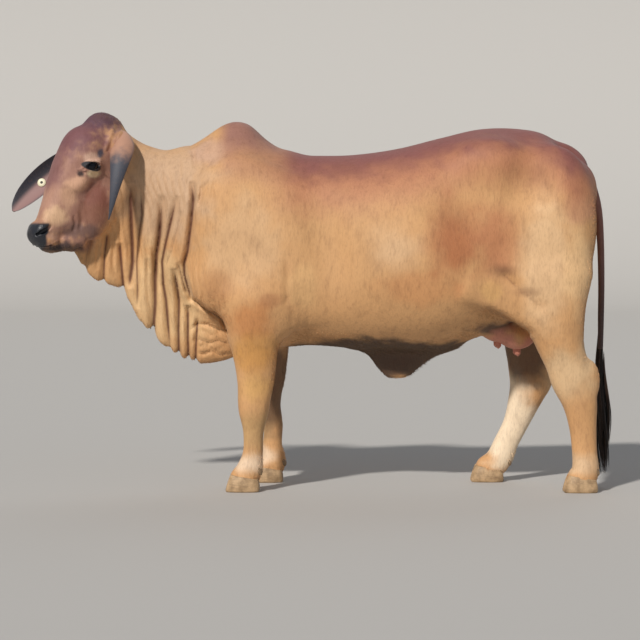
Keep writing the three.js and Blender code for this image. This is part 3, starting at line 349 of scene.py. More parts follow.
class Fold:
    """A crease along a line of points on the skin, with a soft ridge beside it."""

    def __init__(self, line: Sequence[Point], depth: float, width: float, ridge: float = 0.4) -> None:
        """Stores the crease; its ends run out smoothly."""
        self.line = np.asarray(line, float)
        self.depth, self.width, self.ridge = depth, width, ridge
        self.box = Box.around(line, 4 * width)

    def nearest(self, points: np.ndarray) -> tuple[np.ndarray, np.ndarray]:
        """Distances of points from the line, and the shares of its length where it is nearest."""
        best = np.full(len(points), np.inf)
        place = np.zeros(len(points))
        spans = len(self.line) - 1
        for k in range(spans):
            a, d = self.line[k], self.line[k + 1] - self.line[k]
            p = points - a
            t = np.clip(p @ d / (d @ d), 0, 1)
            far = np.linalg.norm(p - t[:, None] * d, axis=1)
            closer = far < best
            best[closer], place[closer] = far[closer], (k + t[closer]) / spans
        return best, place

    def offset(self, points: np.ndarray) -> np.ndarray:
        """How far the skin is pressed in at points."""
        best, place = self.nearest(points)
        valley = np.exp(-((best / self.width) ** 2))
        swell = np.exp(-(((best - 2.1 * self.width) / (1.1 * self.width)) ** 2))
        ends = np.minimum(1.0, 4 * np.sqrt(np.clip(place * (1 - place), 0, 1)))
        return self.depth * ends * (valley - self.ridge * swell)


class Body:
    """Shapes joined, hollowed and creased in turn."""

    def __init__(self) -> None:
        """Starts empty."""
        self.steps: list[tuple[str, object, float]] = []
        self.box: Box | None = None

    def add(self, shape: Shape, blend: float = 40) -> "Body":
        """Joins a shape."""
        self.box = shape.box if self.box is None else self.box.union(shape.box)
        self.steps.append(("add", shape, blend))
        return self

    def add_pair(self, centre: Point, radii: Point, turn: Point = (0, 0, 0), blend: float = 40) -> "Body":
        """Joins a mass and its mirror image."""
        x, y, z = centre
        self.add(Mass((x, -y, z), radii, (-turn[0], turn[1], -turn[2])), blend)
        return self.add(Mass(centre, radii, turn), blend)

    def take(self, shape: Shape, blend: float = 20) -> "Body":
        """Hollows a shape out."""
        self.steps.append(("take", shape, blend))
        return self

    def fold(self, line: Sequence[Point], depth: float, width: float, ridge: float = 0.4) -> "Body":
        """Presses a fold in."""
        self.steps.append(("fold", Fold(line, depth, width, ridge), 0))
        return self

    def crease(self, line: Sequence[Point], depth: float, width: float) -> "Body":
        """Presses a valley into both sides."""
        self.steps.append(("fold", Crease(line, depth, width), 0))
        return self

    def distance(self, points: np.ndarray) -> np.ndarray:
        """Signed distances at points."""
        d = np.full(len(points), FAR)
        for kind, shape, blend in self.steps:
            reach = {"add": d + blend + SLACK, "take": blend - d + SLACK, "fold": 0 * d}[kind]
            near = np.flatnonzero(shape.box.distance(points) <= reach)
            if len(near) == 0:
                continue
            part = points[near]
            if kind == "add":
                d[near] = join(d[near], shape.distance(part), blend)
            elif kind == "take":
                d[near] = -join(-d[near], shape.distance(part), blend)
            else:
                d[near] += shape.offset(part)
        return d


# The animal, in its own millimetres


HEAD_YAW = 32.0
HEAD_PIVOT = (-800.0, 0.0, 0.0)
EYE_CENTRE = (-148.0, 89.0, 1251.0)  # in the head's own frame, on its right
EYE_RADIUS = 26.0
LID_SLANT = math.radians(13)


class Side(Enum):
    """A side of the animal, by the sign of Y."""

    LEFT = -1
    RIGHT = 1


def slices(rows: Sequence[Sequence[float]], square: float = 2.0) -> Slices:
    """Slices from rows of x, z, wide, up, down and, off the middle, y."""
    return Slices([Slice(*row) for row in rows], square)


def limb(rows: Sequence[tuple], square: float = 2.0) -> Limb:
    """A limb from rows of place, wide, fore and aft."""
    return Limb([Joint(*row) for row in rows], square=square)


class Leaf:
    """The blade of an ear: a cupped sheet hung along a curve, its edges bent towards `facing`."""

    def __init__(
        self, line: Sequence[Point], facing: Point, spread: dict[float, float], width: float = 118.0
    ) -> None:
        """Samples the curve of four control points and its frames.

        Args:
            line: The control points.
            facing: Which way its hollow side looks.
            spread: Share of the full width by share of the length.
            width: The full width.
        """
        t = np.linspace(0, 1, 400)[:, None]
        p = np.asarray(line, float)
        curve = (1 - t) ** 3 * p[0] + 3 * t * (1 - t) ** 2 * p[1] + 3 * t * t * (1 - t) * p[2] + t**3 * p[3]
        run = np.concatenate([[0], np.cumsum(np.linalg.norm(np.diff(curve, axis=0), axis=1))])
        self.share = np.linspace(0, 1, 65)
        self.at = np.stack([np.interp(self.share * run[-1], run, curve[:, k]) for k in range(3)], axis=1)
        along = np.gradient(self.at, axis=0)
        self.along = along / np.linalg.norm(along, axis=1, keepdims=True)
        face = np.asarray(facing, float) / np.linalg.norm(facing)
        inward = face - self.along * (self.along @ face)[:, None]
        self.inward = inward / np.linalg.norm(inward, axis=1, keepdims=True)
        self.across = np.cross(self.along, self.inward)
        self.wide = width * through(list(spread), list(spread.values()), self.share)
        self.cup = through([0, 0.2, 0.5, 1], [4.2, 2.6, 1.6, 1], self.share)

    def point(self, share: float, across: np.ndarray, depth: np.ndarray) -> np.ndarray:
        """Points of the blade.

        Args:
            share: Share of its length.
            across: Share of its half-width, from -1 to 1.
            depth: Depth under its outer face.

        Returns:
            The points.
        """
        at, inward, sideways = (
            np.array([np.interp(share, self.share, axis[:, k]) for k in range(3)])
            for axis in (self.at, self.inward, self.across)
        )
        cup = np.interp(share, self.share, self.cup)
        radius = np.interp(share, self.share, self.wide) / cup
        angle = across * cup / 2
        reach = radius - depth
        u, v = np.sin(angle) * reach, radius - np.cos(angle) * reach
        return at + u[:, None] * sideways + v[:, None] * inward


LEFT_EAR = Leaf(
    [(-792, -60, 1368), (-748, -180, 1396), (-768, -272, 1196), (-808, -205, 1046)],
    (0.12, 0.99, 0),
    {0: 0.62, 0.12: 0.9, 0.24: 1.08, 0.34: 0.98, 0.46: 0.76, 0.58: 0.56, 0.72: 0.36, 0.86: 0.2, 1: 0.05},
)
RIGHT_EAR = Leaf(
    [(-880, 56, 1340), (-975, 160, 1308), (-1110, 176, 1222), (-1218, 120, 1080)],
    (-0.4, -0.9, -0.1),
    {0: 0.5, 0.15: 0.7, 0.4: 0.97, 0.62: 1, 0.82: 0.8, 0.95: 0.44, 1: 0.12},
)


class Crease:
    """A sharp valley between rounded folds, pressed into both sides of the body along [x, z] points."""

    def __init__(self, line: Sequence[Point], depth: float, width: float) -> None:
        """Stores the valley; its ends run out smoothly."""
        flat = np.asarray(line, float)
        self.depth, self.width = depth, width
        self.fold = Fold(np.stack([flat[:, 0], 0 * flat[:, 0], flat[:, 1]], axis=1), depth, width)
        low, high = flat.min(0) - width, flat.max(0) + width
        self.box = Box(np.array([low[0], -1e3, low[1]]), np.array([high[0], 1e3, high[1]]))

    def offset(self, points: np.ndarray) -> np.ndarray:
        """How far the skin is pressed in at points."""
        far, place = self.fold.nearest(points * [1, 0, 1])
        ends = np.minimum(1.0, 3 * np.sqrt(np.clip(place * (1 - place), 0, 1)))
        return self.depth * ends * np.clip(1 - far / self.width, 0, 1) ** 2


class Ripples:
    """Loose wrinkles that run down the neck and the dewlap and come and go."""

    def __init__(self, depth: float, spacing: float) -> None:
        """Stores their depth and how far they are apart."""
        self.depth, self.spacing = depth, spacing
        self.box = Box(np.array([-880.0, -400, 520]), np.array([-400.0, 400, 1260]))

    def offset(self, points: np.ndarray) -> np.ndarray:
        """How far the skin is pressed in at points."""
        x, y, z = points.T
        bend = 16 * np.sin(z / 95) + 8 * np.sin(z / 41 + x / 70) + 0.1 * (z - 900)
        come = 0.5 + 0.5 * np.sin(x / 83 + z / 130) * np.sin(z / 74 - x / 210 + 1)
        fade = (
            step(-860, -790, x)
            * step(-400, -490, x)
            * step(520, 620, z)
            * step(1260, 1150, z)
            * step(14, 40, np.abs(y))
        )
        return self.depth * fade * come * (1 - np.abs(np.sin(math.pi * (x + bend) / self.spacing))) ** 1.5


class Anatomy:
    """The named masses of the cow."""

    def trunk(self) -> Slices:
        """Chest, barrel and croup."""
        rows = [
            (-470, 985, 150, 300, 250), (-350, 960, 205, 335, 360), (-200, 930, 240, 368, 382),
            (-40, 900, 262, 399, 344), (118, 890, 292, 411, 344), (294, 890, 318, 434, 352),
            (470, 905, 318, 462, 362), (627, 940, 288, 462, 350), (784, 980, 248, 422, 340),
            (890, 1010, 205, 364, 300), (958, 1030, 110, 270, 240),
        ]
        return slices(rows, 2.25)

    def hump(self) -> Slices:
        """The soft hump over the shoulders."""
        rows = [
            (-505, 1250, 60, 66, 120), (-440, 1260, 84, 116, 160), (-380, 1270, 96, 148, 180),
            (-325, 1270, 100, 164, 180), (-275, 1270, 98, 152, 180), (-220, 1260, 84, 112, 170),
            (-150, 1250, 62, 60, 140),
        ]
        return slices(rows, 2.1)

    def neck(self) -> Slices:
        """Neck from the poll to the shoulder."""
        rows = [
            (-830, 1240, 80, 110, 190, -16), (-760, 1220, 86, 158, 250, -5),
            (-680, 1190, 96, 152, 310), (-600, 1150, 118, 168, 350), (-520, 1110, 150, 196, 380),
            (-430, 1060, 186, 236, 400),
        ]
        return slices(rows, 2.1)

    def dewlap(self) -> Slices:
        """The hanging fold from the jaw to the brisket."""
        rows = [
            (-955, 960, 14, 30, 30, -74), (-930, 980, 24, 60, 104, -60),
            (-880, 980, 35, 100, 164, -38), (-810, 980, 42, 120, 192, -14),
            (-775, 980, 46, 120, 208, -4), (-745, 960, 50, 120, 236), (-715, 940, 53, 120, 276),
            (-680, 920, 56, 120, 312), (-620, 880, 60, 120, 320), (-560, 850, 64, 120, 338),
            (-500, 800, 68, 120, 312), (-440, 760, 74, 120, 276), (-360, 740, 78, 120, 240),
            (-290, 720, 74, 100, 190),
        ]
        return slices(rows, 2.6)

    def navel(self) -> Slices:
        """The loose flap of the navel."""
        rows = [
            (140, 600, 40, 40, 50), (190, 600, 30, 40, 86), (222, 600, 26, 40, 130),
            (260, 600, 24, 40, 170), (306, 600, 23, 40, 176), (350, 600, 24, 40, 168),
            (392, 600, 27, 40, 134), (440, 600, 34, 40, 96), (520, 600, 44, 40, 62),
        ]
        return slices(rows, 2.4)

    def fore_leg(self, y: float, x: float, toe: float, fetlock: float, cannon: float, knee: float) -> Limb:
        """A foreleg from the pastern to the forearm; the last four lean its joints."""
        rows = [
            ((x + toe, y, 50), 50, 58, 54),
            ((x + fetlock, y, 86), 45, 50, 52),
            ((x + cannon, y, 150), 34, 39, 42),
            ((x + cannon + 3, y, 230), 34, 41, 42),
            ((x + knee, y, 300), 50, 60, 56),
            ((x, y, 345), 54, 66, 62),
            ((x, y, 420), 52, 68, 76),
            ((x, y, 520), 64, 84, 88),
            ((x - 8, y, 620), 82, 104, 106),
            ((x - 8, y * 1.02, 730), 86, 120, 130),
        ]
        return limb(rows, square=2.2)

    def left_hind_leg(self) -> Limb:
        """The near hind leg, standing back."""
        rows = [
            ((1008, -190, 50), 52, 60, 56),
            ((1020, -190, 88), 47, 54, 54),
            ((1016, -190, 160), 37, 50, 50),
            ((1010, -190, 250), 40, 55, 54),
            ((1000, -190, 340), 50, 70, 66),
            ((980, -190, 425), 56, 92, 74),
            ((955, -190, 510), 60, 96, 70),
            ((925, -188, 590), 78, 104, 92),
            ((900, -180, 690), 98, 122, 124),
            ((880, -168, 800), 104, 150, 160),
        ]
        return limb(rows, square=2.2)

    def right_hind_leg(self) -> Limb:
        """The far hind leg, stepping forward."""
        rows = [
            ((678, 175, 50), 52, 58, 58),
            ((714, 175, 88), 47, 52, 54),
            ((744, 175, 150), 38, 50, 50),
            ((782, 175, 230), 40, 50, 54),
            ((812, 175, 310), 50, 62, 66),
            ((836, 175, 390), 56, 78, 82),
            ((842, 175, 480), 60, 92, 82),
            ((840, 175, 580), 76, 106, 96),
            ((850, 172, 690), 92, 122, 124),
            ((880, 165, 800), 100, 150, 150),
        ]
        return limb(rows, square=2.2)

    def jaw(self, side: Side) -> Limb:
        """One branch of the lower jaw."""
        s = side.value
        rows = [
            ((-276, s * 14, 948), 24, 26, 26),
            ((-212, s * 34, 962), 28, 34, 34),
            ((-150, s * 50, 996), 30, 40, 40),
            ((-104, s * 60, 1058), 32, 50, 50),
            ((-84, s * 66, 1130), 32, 56, 56),
        ]
        return limb(rows)

    def head(self) -> Body:
        """Skull, muscles and lips, in the head's own frame."""
        skull = [
            ((-322, 0, 985), 54, 42, 44),
            ((-292, 0, 1034), 55, 44, 90),
            ((-256, 0, 1104), 64, 54, 128),
            ((-216, 0, 1182), 82, 70, 150),
            ((-170, 0, 1252), 97, 88, 146),
            ((-118, 0, 1312), 98, 88, 124),
            ((-70, 0, 1356), 82, 74, 104),
        ]
        head = Body()
        head.add(limb(skull, square=2.4))
        head.add(Mass((-138, 0, 1324), (78, 90, 84)), 40)  # bulging forehead
        head.add(Mass((-56, 0, 1410), (66, 54, 56), (0, 10, 0)), 40)  # poll
        head.add(Mass((-14, 0, 1404), (40, 46, 40)), 24)  # back of the poll
        head.add_pair((-146, 84, 1272), (44, 24, 26), (0, 30, 0), 24)  # brow
        head.add_pair((-168, 72, 1214), (64, 26, 26), (0, -46, 0), 34)  # cheek bone
        head.add(self.jaw(Side.LEFT), 24)
        head.add(self.jaw(Side.RIGHT), 24)
        head.add_pair((-96, 62, 1110), (56, 36, 92), (0, 20, 0), 34)  # cheek muscle
        head.add_pair((-206, 38, 1060), (70, 30, 62), blend=40)  # cheek over the grinders
        head.add_pair((-50, 66, 1312), (44, 36, 50), blend=30)  # root of the ear
        head.add(Mass((-336, 0, 994), (31, 55, 36)), 24)  # muzzle pad
        head.add_pair((-326, 38, 1014), (24, 20, 22), blend=18)  # wing of the nostril
        head.add_pair((-302, 32, 966), (40, 30, 26), blend=16)  # upper lip
        head.add(Mass((-274, 0, 943), (48, 38, 22), (0, -8, 0)), 16)  # lower lip and chin
        for s in (-1, 1):
            x, y, z = EYE_CENTRE[0], s * EYE_CENTRE[1], EYE_CENTRE[2]
            head.take(Mass((x + 14, s * 126, z + 40), (24, 15, 13), (0, -16, 0)), 18)  # hollow over the lids
            # hollow of the tear corner
            head.take(Mass((x - 42, s * 108, z - 22), (22, 10, 8), (0, -36, 0)), 12)
            head.add(Mass((x - 2, y, z), (42, 31, 27), (0, -13, s * -6)), 10)  # lids over the ball
            # opening between the lids
            head.take(Mass((x - 6, y + s * 28, z - 1), (35, 15, 13.5), (0, -13, s * -10)), 2)
            head.fold(
                [
                    (x - 42, s * 104, z + 4), (x - 18, s * 116, z + 22), (x + 8, s * 119, z + 27),
                    (x + 38, s * 110, z + 16),
                ],
                4, 3,
            )
            head.fold(
                [
                    (x - 50, s * 98, z - 20), (x - 24, s * 110, z - 30), (x + 6, s * 116, z - 30),
                    (x + 32, s * 112, z - 18),
                ],
                3, 3.5,
            )
            head.fold([(x - 34, s * 108, z - 9), (x - 48, s * 100, z - 18), (x - 64, s * 92, z - 24)], 5, 3.5)
            nostril = [
                ((-302, s * 56, 1018), 5, 5, 5),
                ((-319, s * 53, 1009), 8, 8, 8),
                ((-337, s * 46, 998), 10, 10, 10),
                ((-349, s * 38, 990), 7, 7, 7),
            ]
            head.take(limb(nostril), 4)
            head.fold(
                [
                    (-340, s * 14, 945), (-326, s * 38, 945), (-292, s * 54, 951), (-262, s * 56, 963),
                    (-234, s * 53, 982),
                ],
                9, 3.2, 0.25,
            )
            head.fold([(-212, s * 60, 1000), (-206, s * 66, 1030), (-214, s * 68, 1062)], 3, 6)
            head.fold([(-190, s * 70, 1010), (-180, s * 74, 1046), (-188, s * 76, 1080)], 2.5, 6)
        head.fold([(-370, 0, 1002), (-368, 0, 970), (-352, 0, 950)], 3, 3)  # cleft of the upper lip
        return head

    def folds(self) -> list[tuple]:
        """Valleys of the neck, dewlap and flank: their line of [x, z], depth and width."""
        return [
            ([(-736, 1186), (-734, 1026), (-732, 882), (-747, 781)], 26, 36),
            ([(-695, 1163), (-691, 1065), (-708, 968), (-716, 882), (-712, 773), (-716, 700)], 17, 27),
            (
                [
                    (-609, 1139), (-623, 984), (-637, 910), (-644, 816), (-644, 715), (-650, 649),
                    (-654, 560),
                ],
                40, 36,
            ),
            (
                [
                    (-549, 1139), (-576, 1038), (-599, 949), (-615, 882), (-611, 793), (-601, 735),
                    (-595, 657), (-584, 500),
                ],
                27, 28,
            ),
            ([(-533, 1077), (-553, 999), (-572, 929), (-599, 867)], 13, 18),
            (
                [
                    (-493, 1193), (-486, 1123), (-493, 1042), (-510, 921), (-524, 875), (-524, 832),
                    (-510, 778), (-501, 727),
                ],
                26, 25,
            ),
            ([(-548, 882), (-533, 813), (-517, 758)], 16, 17),
            ([(-564, 859), (-550, 735), (-553, 618), (-553, 480)], 28, 25),
            ([(-515, 715), (-516, 579), (-514, 450)], 26, 24),
            ([(-477, 664), (-483, 579), (-490, 450)], 20, 20),
            ([(-709, 652), (-678, 613), (-643, 633)], 22, 20),
            ([(-429, 1192), (-449, 1146), (-468, 1100)], 8, 14),
            ([(-453, 1177), (-456, 1138), (-464, 1092)], 7, 12),
            ([(-491, 1316), (-481, 1246)], 8, 15),
            ([(-542, 1278), (-538, 1208)], 6, 14),
            ([(-395, 1210), (-408, 1160), (-412, 1118)], 5, 13),
            ([(-827, 999), (-839, 910), (-846, 790)], 18, 25),
            ([(-888, 976), (-903, 921), (-920, 840)], 14, 19),
            ([(-782, 956), (-776, 882), (-767, 750)], 22, 27),
            ([(-859, 960), (-866, 900), (-868, 850)], 9, 14),
            ([(-804, 960), (-808, 890), (-800, 820)], 9, 14),
            ([(-672, 900), (-674, 800), (-668, 700)], 10, 16),
            ([(-668, 1120), (-660, 1000), (-672, 900)], 8, 15),
            ([(-500, 742), (-470, 722), (-434, 697), (-380, 662), (-357, 604)], 18, 20),
            ([(-514, 612), (-478, 642), (-436, 640), (-400, 622), (-353, 612)], 15, 14),
            ([(-498, 590), (-462, 618), (-424, 598), (-392, 606), (-348, 584)], 8, 11),
            ([(-506, 570), (-470, 582), (-430, 566), (-398, 578), (-342, 560)], 15, 13),
            ([(-484, 548), (-450, 560), (-410, 540), (-372, 552), (-338, 540)], 9, 11),
            ([(-480, 530), (-456, 522), (-420, 536), (-390, 520), (-335, 528)], 14, 13),
            ([(627, 708), (708, 670), (811, 605)], 14, 30),
            ([(686, 846), (762, 777), (858, 701)], 13, 36),
            ([(-112, 740), (-103, 690), (-108, 640)], 6, 16),
            ([(-80, 725), (-76, 680), (-80, 640)], 5, 15),
            ([(-50, 715), (-46, 670), (-50, 640)], 4, 15),
            ([(-126, 920), (-124, 816), (-126, 716)], 12, 20),
        ]

    def whole(self) -> Body:
        """The whole skin."""
        cow = Body()
        cow.add(self.trunk())
        cow.add(self.neck(), 110)
        cow.add(self.hump(), 80)
        cow.add_pair((-250, 160, 1000), (150, 52, 270), (0, -16, 0), 150)  # shoulder blade
        cow.add_pair((-400, 150, 800), (86, 66, 110), (0, 20, 0), 70)  # point of the shoulder
        cow.add_pair((-210, 182, 745), (130, 78, 150), blend=70)  # upper arm
        cow.add_pair((-170, 170, 655), (52, 46, 58), blend=40)  # elbow
        cow.add_pair((655, 190, 1262), (100, 56, 70), blend=120)  # hook of the hip
        cow.add_pair((888, 150, 1000), (176, 122, 330), (0, 4, 0), 80)  # thigh
        cow.add_pair((1000, 84, 1170), (66, 58, 90), blend=60)  # pin bone
        cow.add_pair((770, 178, 790), (120, 92, 150), (0, -24, 0), 80)  # stifle
        cow.add(self.fore_leg(-168, -252, -38, -22, -8, -2), 50)
        cow.add(self.fore_leg(160, -214, 9, 27, 22, 4), 50)
        cow.add(self.left_hind_leg(), 60)
        cow.add(self.right_hind_leg(), 60)
        cow.add(Mass((1046, -190, 446), (26, 26, 58), (0, -8, 0)), 36)  # point of the near hock
        cow.add(Mass((908, 175, 420), (26, 26, 58), (0, 16, 0)), 36)  # point of the far hock
        cow.add(self.dewlap(), 46)
        cow.add(self.navel(), 40)
        cow.add_pair((768, 52, 606), (80, 56, 66), blend=14)  # rear quarters of the udder
        cow.add_pair((698, 52, 624), (74, 52, 56), blend=16)  # fore quarters
        for s in (-1, 1):
            web = [
                ((560, s * 268, 770), 22, 60, 26),
                ((680, s * 246, 716), 20, 60, 26),
                ((770, s * 226, 664), 24, 60, 26),
                ((850, s * 200, 640), 40, 60, 40),
            ]
            cow.add(limb(web), 50)  # fold of the flank, down to the stifle
        cow.add(Turned(self.head(), HEAD_PIVOT, HEAD_YAW), 60)
        cow.add(Mass((975, 0, 1292), (80, 44, 40), (0, 38, 0)), 50)  # root of the tail
        cow.add(Mass((-776, -84, 1350), (46, 42, 38), (0, 0, 20)), 34)  # root of the near ear
        cow.add(Mass((-888, 48, 1332), (42, 42, 34), (0, 0, -20)), 30)  # root of the far ear
        cow.fold(
            [
                (-780, -66, 1404), (-788, -111, 1380), (-795, -124, 1360), (-801, -127, 1337),
                (-812, -128, 1304),
            ],
            10, 8, 0.3,
        )
        for s in (-1, 1):
            cow.take(Mass((566, s * 372, 1150), (150, 66, 150), (0, 20, 0)), 90)  # hollow before the hook
            cow.take(Mass((812, s * 306, 1196), (90, 50, 80)), 70)  # hollow of the hip joint
            cow.take(Mass((10, s * 318, 1010), (60, 50, 250), (0, -10, 0)), 80)  # hollow behind the shoulder
        for line, depth, width in self.folds():
            cow.crease(line, depth, width)
        cow.steps.append(("fold", Ripples(6, 27), 0))
        return cow


# Meshing


@dataclass
class Grid:
    """A grid whose cells grow from the head to the barrel.

    Attributes:
        head: Cell side at the head.
        neck: Cell side at the neck and the dewlap.
        barrel: Cell side behind the shoulder.
        pleats: Length of a cell of the neck and the dewlap along the animal.
        rows: Cells along Y and Z.
    """

    head: float = 5.2
    neck: float = 7.4
    barrel: float = 11.5
    pleats: float = 4.6
    rows: tuple[int, int] = (104, 176)
    xs: np.ndarray = field(init=False)
    cell: np.ndarray = field(init=False)
    middle: np.ndarray = field(init=False)

    def __post_init__(self) -> None:
        """Steps along the animal from beyond the muzzle to behind the rump."""
        xs = [-1250.0]
        while xs[-1] < 1130 or (len(xs) - 1) % BLOCK:
            pace = np.interp(
                xs[-1], [-840, -720, -400, -250], [self.head, self.pleats, self.pleats, self.barrel]
            )
            xs.append(xs[-1] + float(pace))
        self.xs = np.array(xs)
        self.cell = self.side_at(self.xs)
        self.middle = np.interp(self.xs, [-720, -420], [-76, 0])

    def side_at(self, x: np.ndarray | float) -> np.ndarray:
        """Cell side at a place along the animal."""
        return np.interp(x, [-700, -600, -420, -220], [self.head, self.neck, self.neck, self.barrel])

    def world(self, at: np.ndarray) -> np.ndarray:
        """Places of grid coordinates, in millimetres."""
        index = np.arange(len(self.xs), dtype=float)
        x = np.interp(at[:, 0], index, self.xs)
        cell = np.interp(at[:, 0], index, self.cell)
        y = np.interp(at[:, 0], index, self.middle) + (at[:, 1] - self.rows[0] / 2) * cell
        return np.stack([x, y, 1500 - (self.rows[1] - at[:, 2]) * cell], axis=1)


CORNERS = np.array([[i, j, k] for i in (0, 1) for j in (0, 1) for k in (0, 1)])
EDGES = [(a, b) for a in range(8) for b in range(a + 1, 8) if np.abs(CORNERS[a] - CORNERS[b]).sum() == 1]
BLOCK = 4


class SurfaceNet:
    """The closed surface where a distance crosses a level, one vertex for each cell it passes through."""

    def __init__(self, distance: Callable[[np.ndarray], np.ndarray], grid: Grid) -> None:
        """Samples the distance and joins the vertices into quads."""
        self.distance, self.grid = distance, grid
        self.shape = (len(grid.xs), grid.rows[0] + 1, grid.rows[1] + 1)
        self.values = self.sample()
        self.points, self.quads = self.mesh()

    def sample(self) -> np.ndarray:
        """Distances at the grid's points; blocks clear of the surface take their middle's."""
        blocks = [(n - 1) // BLOCK for n in self.shape]
        index = np.stack(np.meshgrid(*[np.arange(n) for n in blocks], indexing="ij"), axis=-1).reshape(-1, 3)
        middles = index * BLOCK + BLOCK / 2
        d = self.distance(self.grid.world(middles))
        clear = 1.3 * BLOCK * self.grid.cell[middles[:, 0].astype(int)]
        values = np.full(self.shape, np.nan, dtype=np.float32)
        far = np.abs(d) >= clear
        spans = np.stack(np.meshgrid(*[np.arange(BLOCK + 1)] * 3, indexing="ij"), axis=-1).reshape(-1, 3)
        at = (index[far] * BLOCK)[:, None, :] + spans[None]
        values[at[..., 0], at[..., 1], at[..., 2]] = d[far][:, None]
        near = (index[~far] * BLOCK)[:, None, :] + spans[None]
        mask = np.zeros(self.shape, bool)
        mask[near[..., 0], near[..., 1], near[..., 2]] = True
        at = np.argwhere(mask)
        values[at[:, 0], at[:, 1], at[:, 2]] = self.distance(self.grid.world(at.astype(float)))
        values[[0, -1]], values[:, [0, -1]], values[:, :, [0, -1]] = 1, 1, 1
        log.info("skin grid %s, %d points read", self.shape, len(at))
        return values

    def mesh(self) -> tuple[np.ndarray, np.ndarray]:
        """Vertices at the middle of each cell's crossings, and quads round each crossed edge."""
        inside = self.values < 0
        count = np.zeros([n - 1 for n in self.shape], np.int8)
        for i, j, k in CORNERS:
            count += inside[i : i + count.shape[0], j : j + count.shape[1], k : k + count.shape[2]]
        cells = np.argwhere((count > 0) & (count < 8))
        corner = np.stack([self.values[tuple((cells + c).T)] for c in CORNERS], axis=1).astype(float)
        total, crossed = np.zeros((len(cells), 3)), np.zeros(len(cells))
        for a, b in EDGES:
            cut = (corner[:, a] < 0) != (corner[:, b] < 0)
            share = np.where(cut, corner[:, a] / np.where(cut, corner[:, a] - corner[:, b], 1), 0)
            total += cut[:, None] * (CORNERS[a] + share[:, None] * (CORNERS[b] - CORNERS[a]))
            crossed += cut
        points = self.grid.world(cells + total / crossed[:, None])
        number = np.full(count.shape, -1, np.int32)
        number[tuple(cells.T)] = np.arange(len(cells))
        quads = []
        for axis in range(3):
            step = np.eye(3, dtype=int)[axis]
            ends = tuple(slice(s, n - 1 + s) for s, n in zip(step, self.shape))
            here = inside[: self.shape[0] - 1, : self.shape[1] - 1, : self.shape[2] - 1]
            at = np.argwhere(here != inside[ends])
            u, v = np.eye(3, dtype=int)[(axis + 1) % 3], np.eye(3, dtype=int)[(axis + 2) % 3]
            ring = np.stack([number[tuple((at - o).T)] for o in (u + v, v, 0 * u, u)], axis=1)
            flip = ~here[tuple(at.T)]
            ring[flip] = ring[flip][:, ::-1]
            quads.append(ring)
        return points, np.concatenate(quads)


def settle(
    distance: Callable[[np.ndarray], np.ndarray],
    points: np.ndarray,
    most: np.ndarray | float,
    rounds: int = 2,
) -> np.ndarray:
    """Draws points onto a surface.

    Args:
        distance: Signed distance to the surface.
        points: The points.
        most: The farthest a point moves in one round.
        rounds: How many times they are moved.

    Returns:
        The moved points.
    """
    step = 0.4
    for _ in range(rounds):
        d = distance(points)
        slope = np.stack([(distance(points + step * axis) - d) / step for axis in np.eye(3)], axis=1)
        steep = np.maximum((slope * slope).sum(axis=1), 0.25)
        points = points - slope * (np.clip(d, -most, most) / steep)[:, None]
    return points


# Shaders


def hex_colour(code: str) -> tuple[float, float, float, float]:
    """Linear colour of an sRGB code such as "c68f5c"."""
    parts = [int(code[k : k + 2], 16) / 255 for k in (0, 2, 4)]
    linear = [c / 12.92 if c <= 0.04045 else ((c + 0.055) / 1.055) ** 2.4 for c in parts]
    return (*linear, 1.0)


def rgb(code: str) -> np.ndarray:
    """The red, green and blue of `hex_colour`."""
    return np.array(hex_colour(code)[:3])


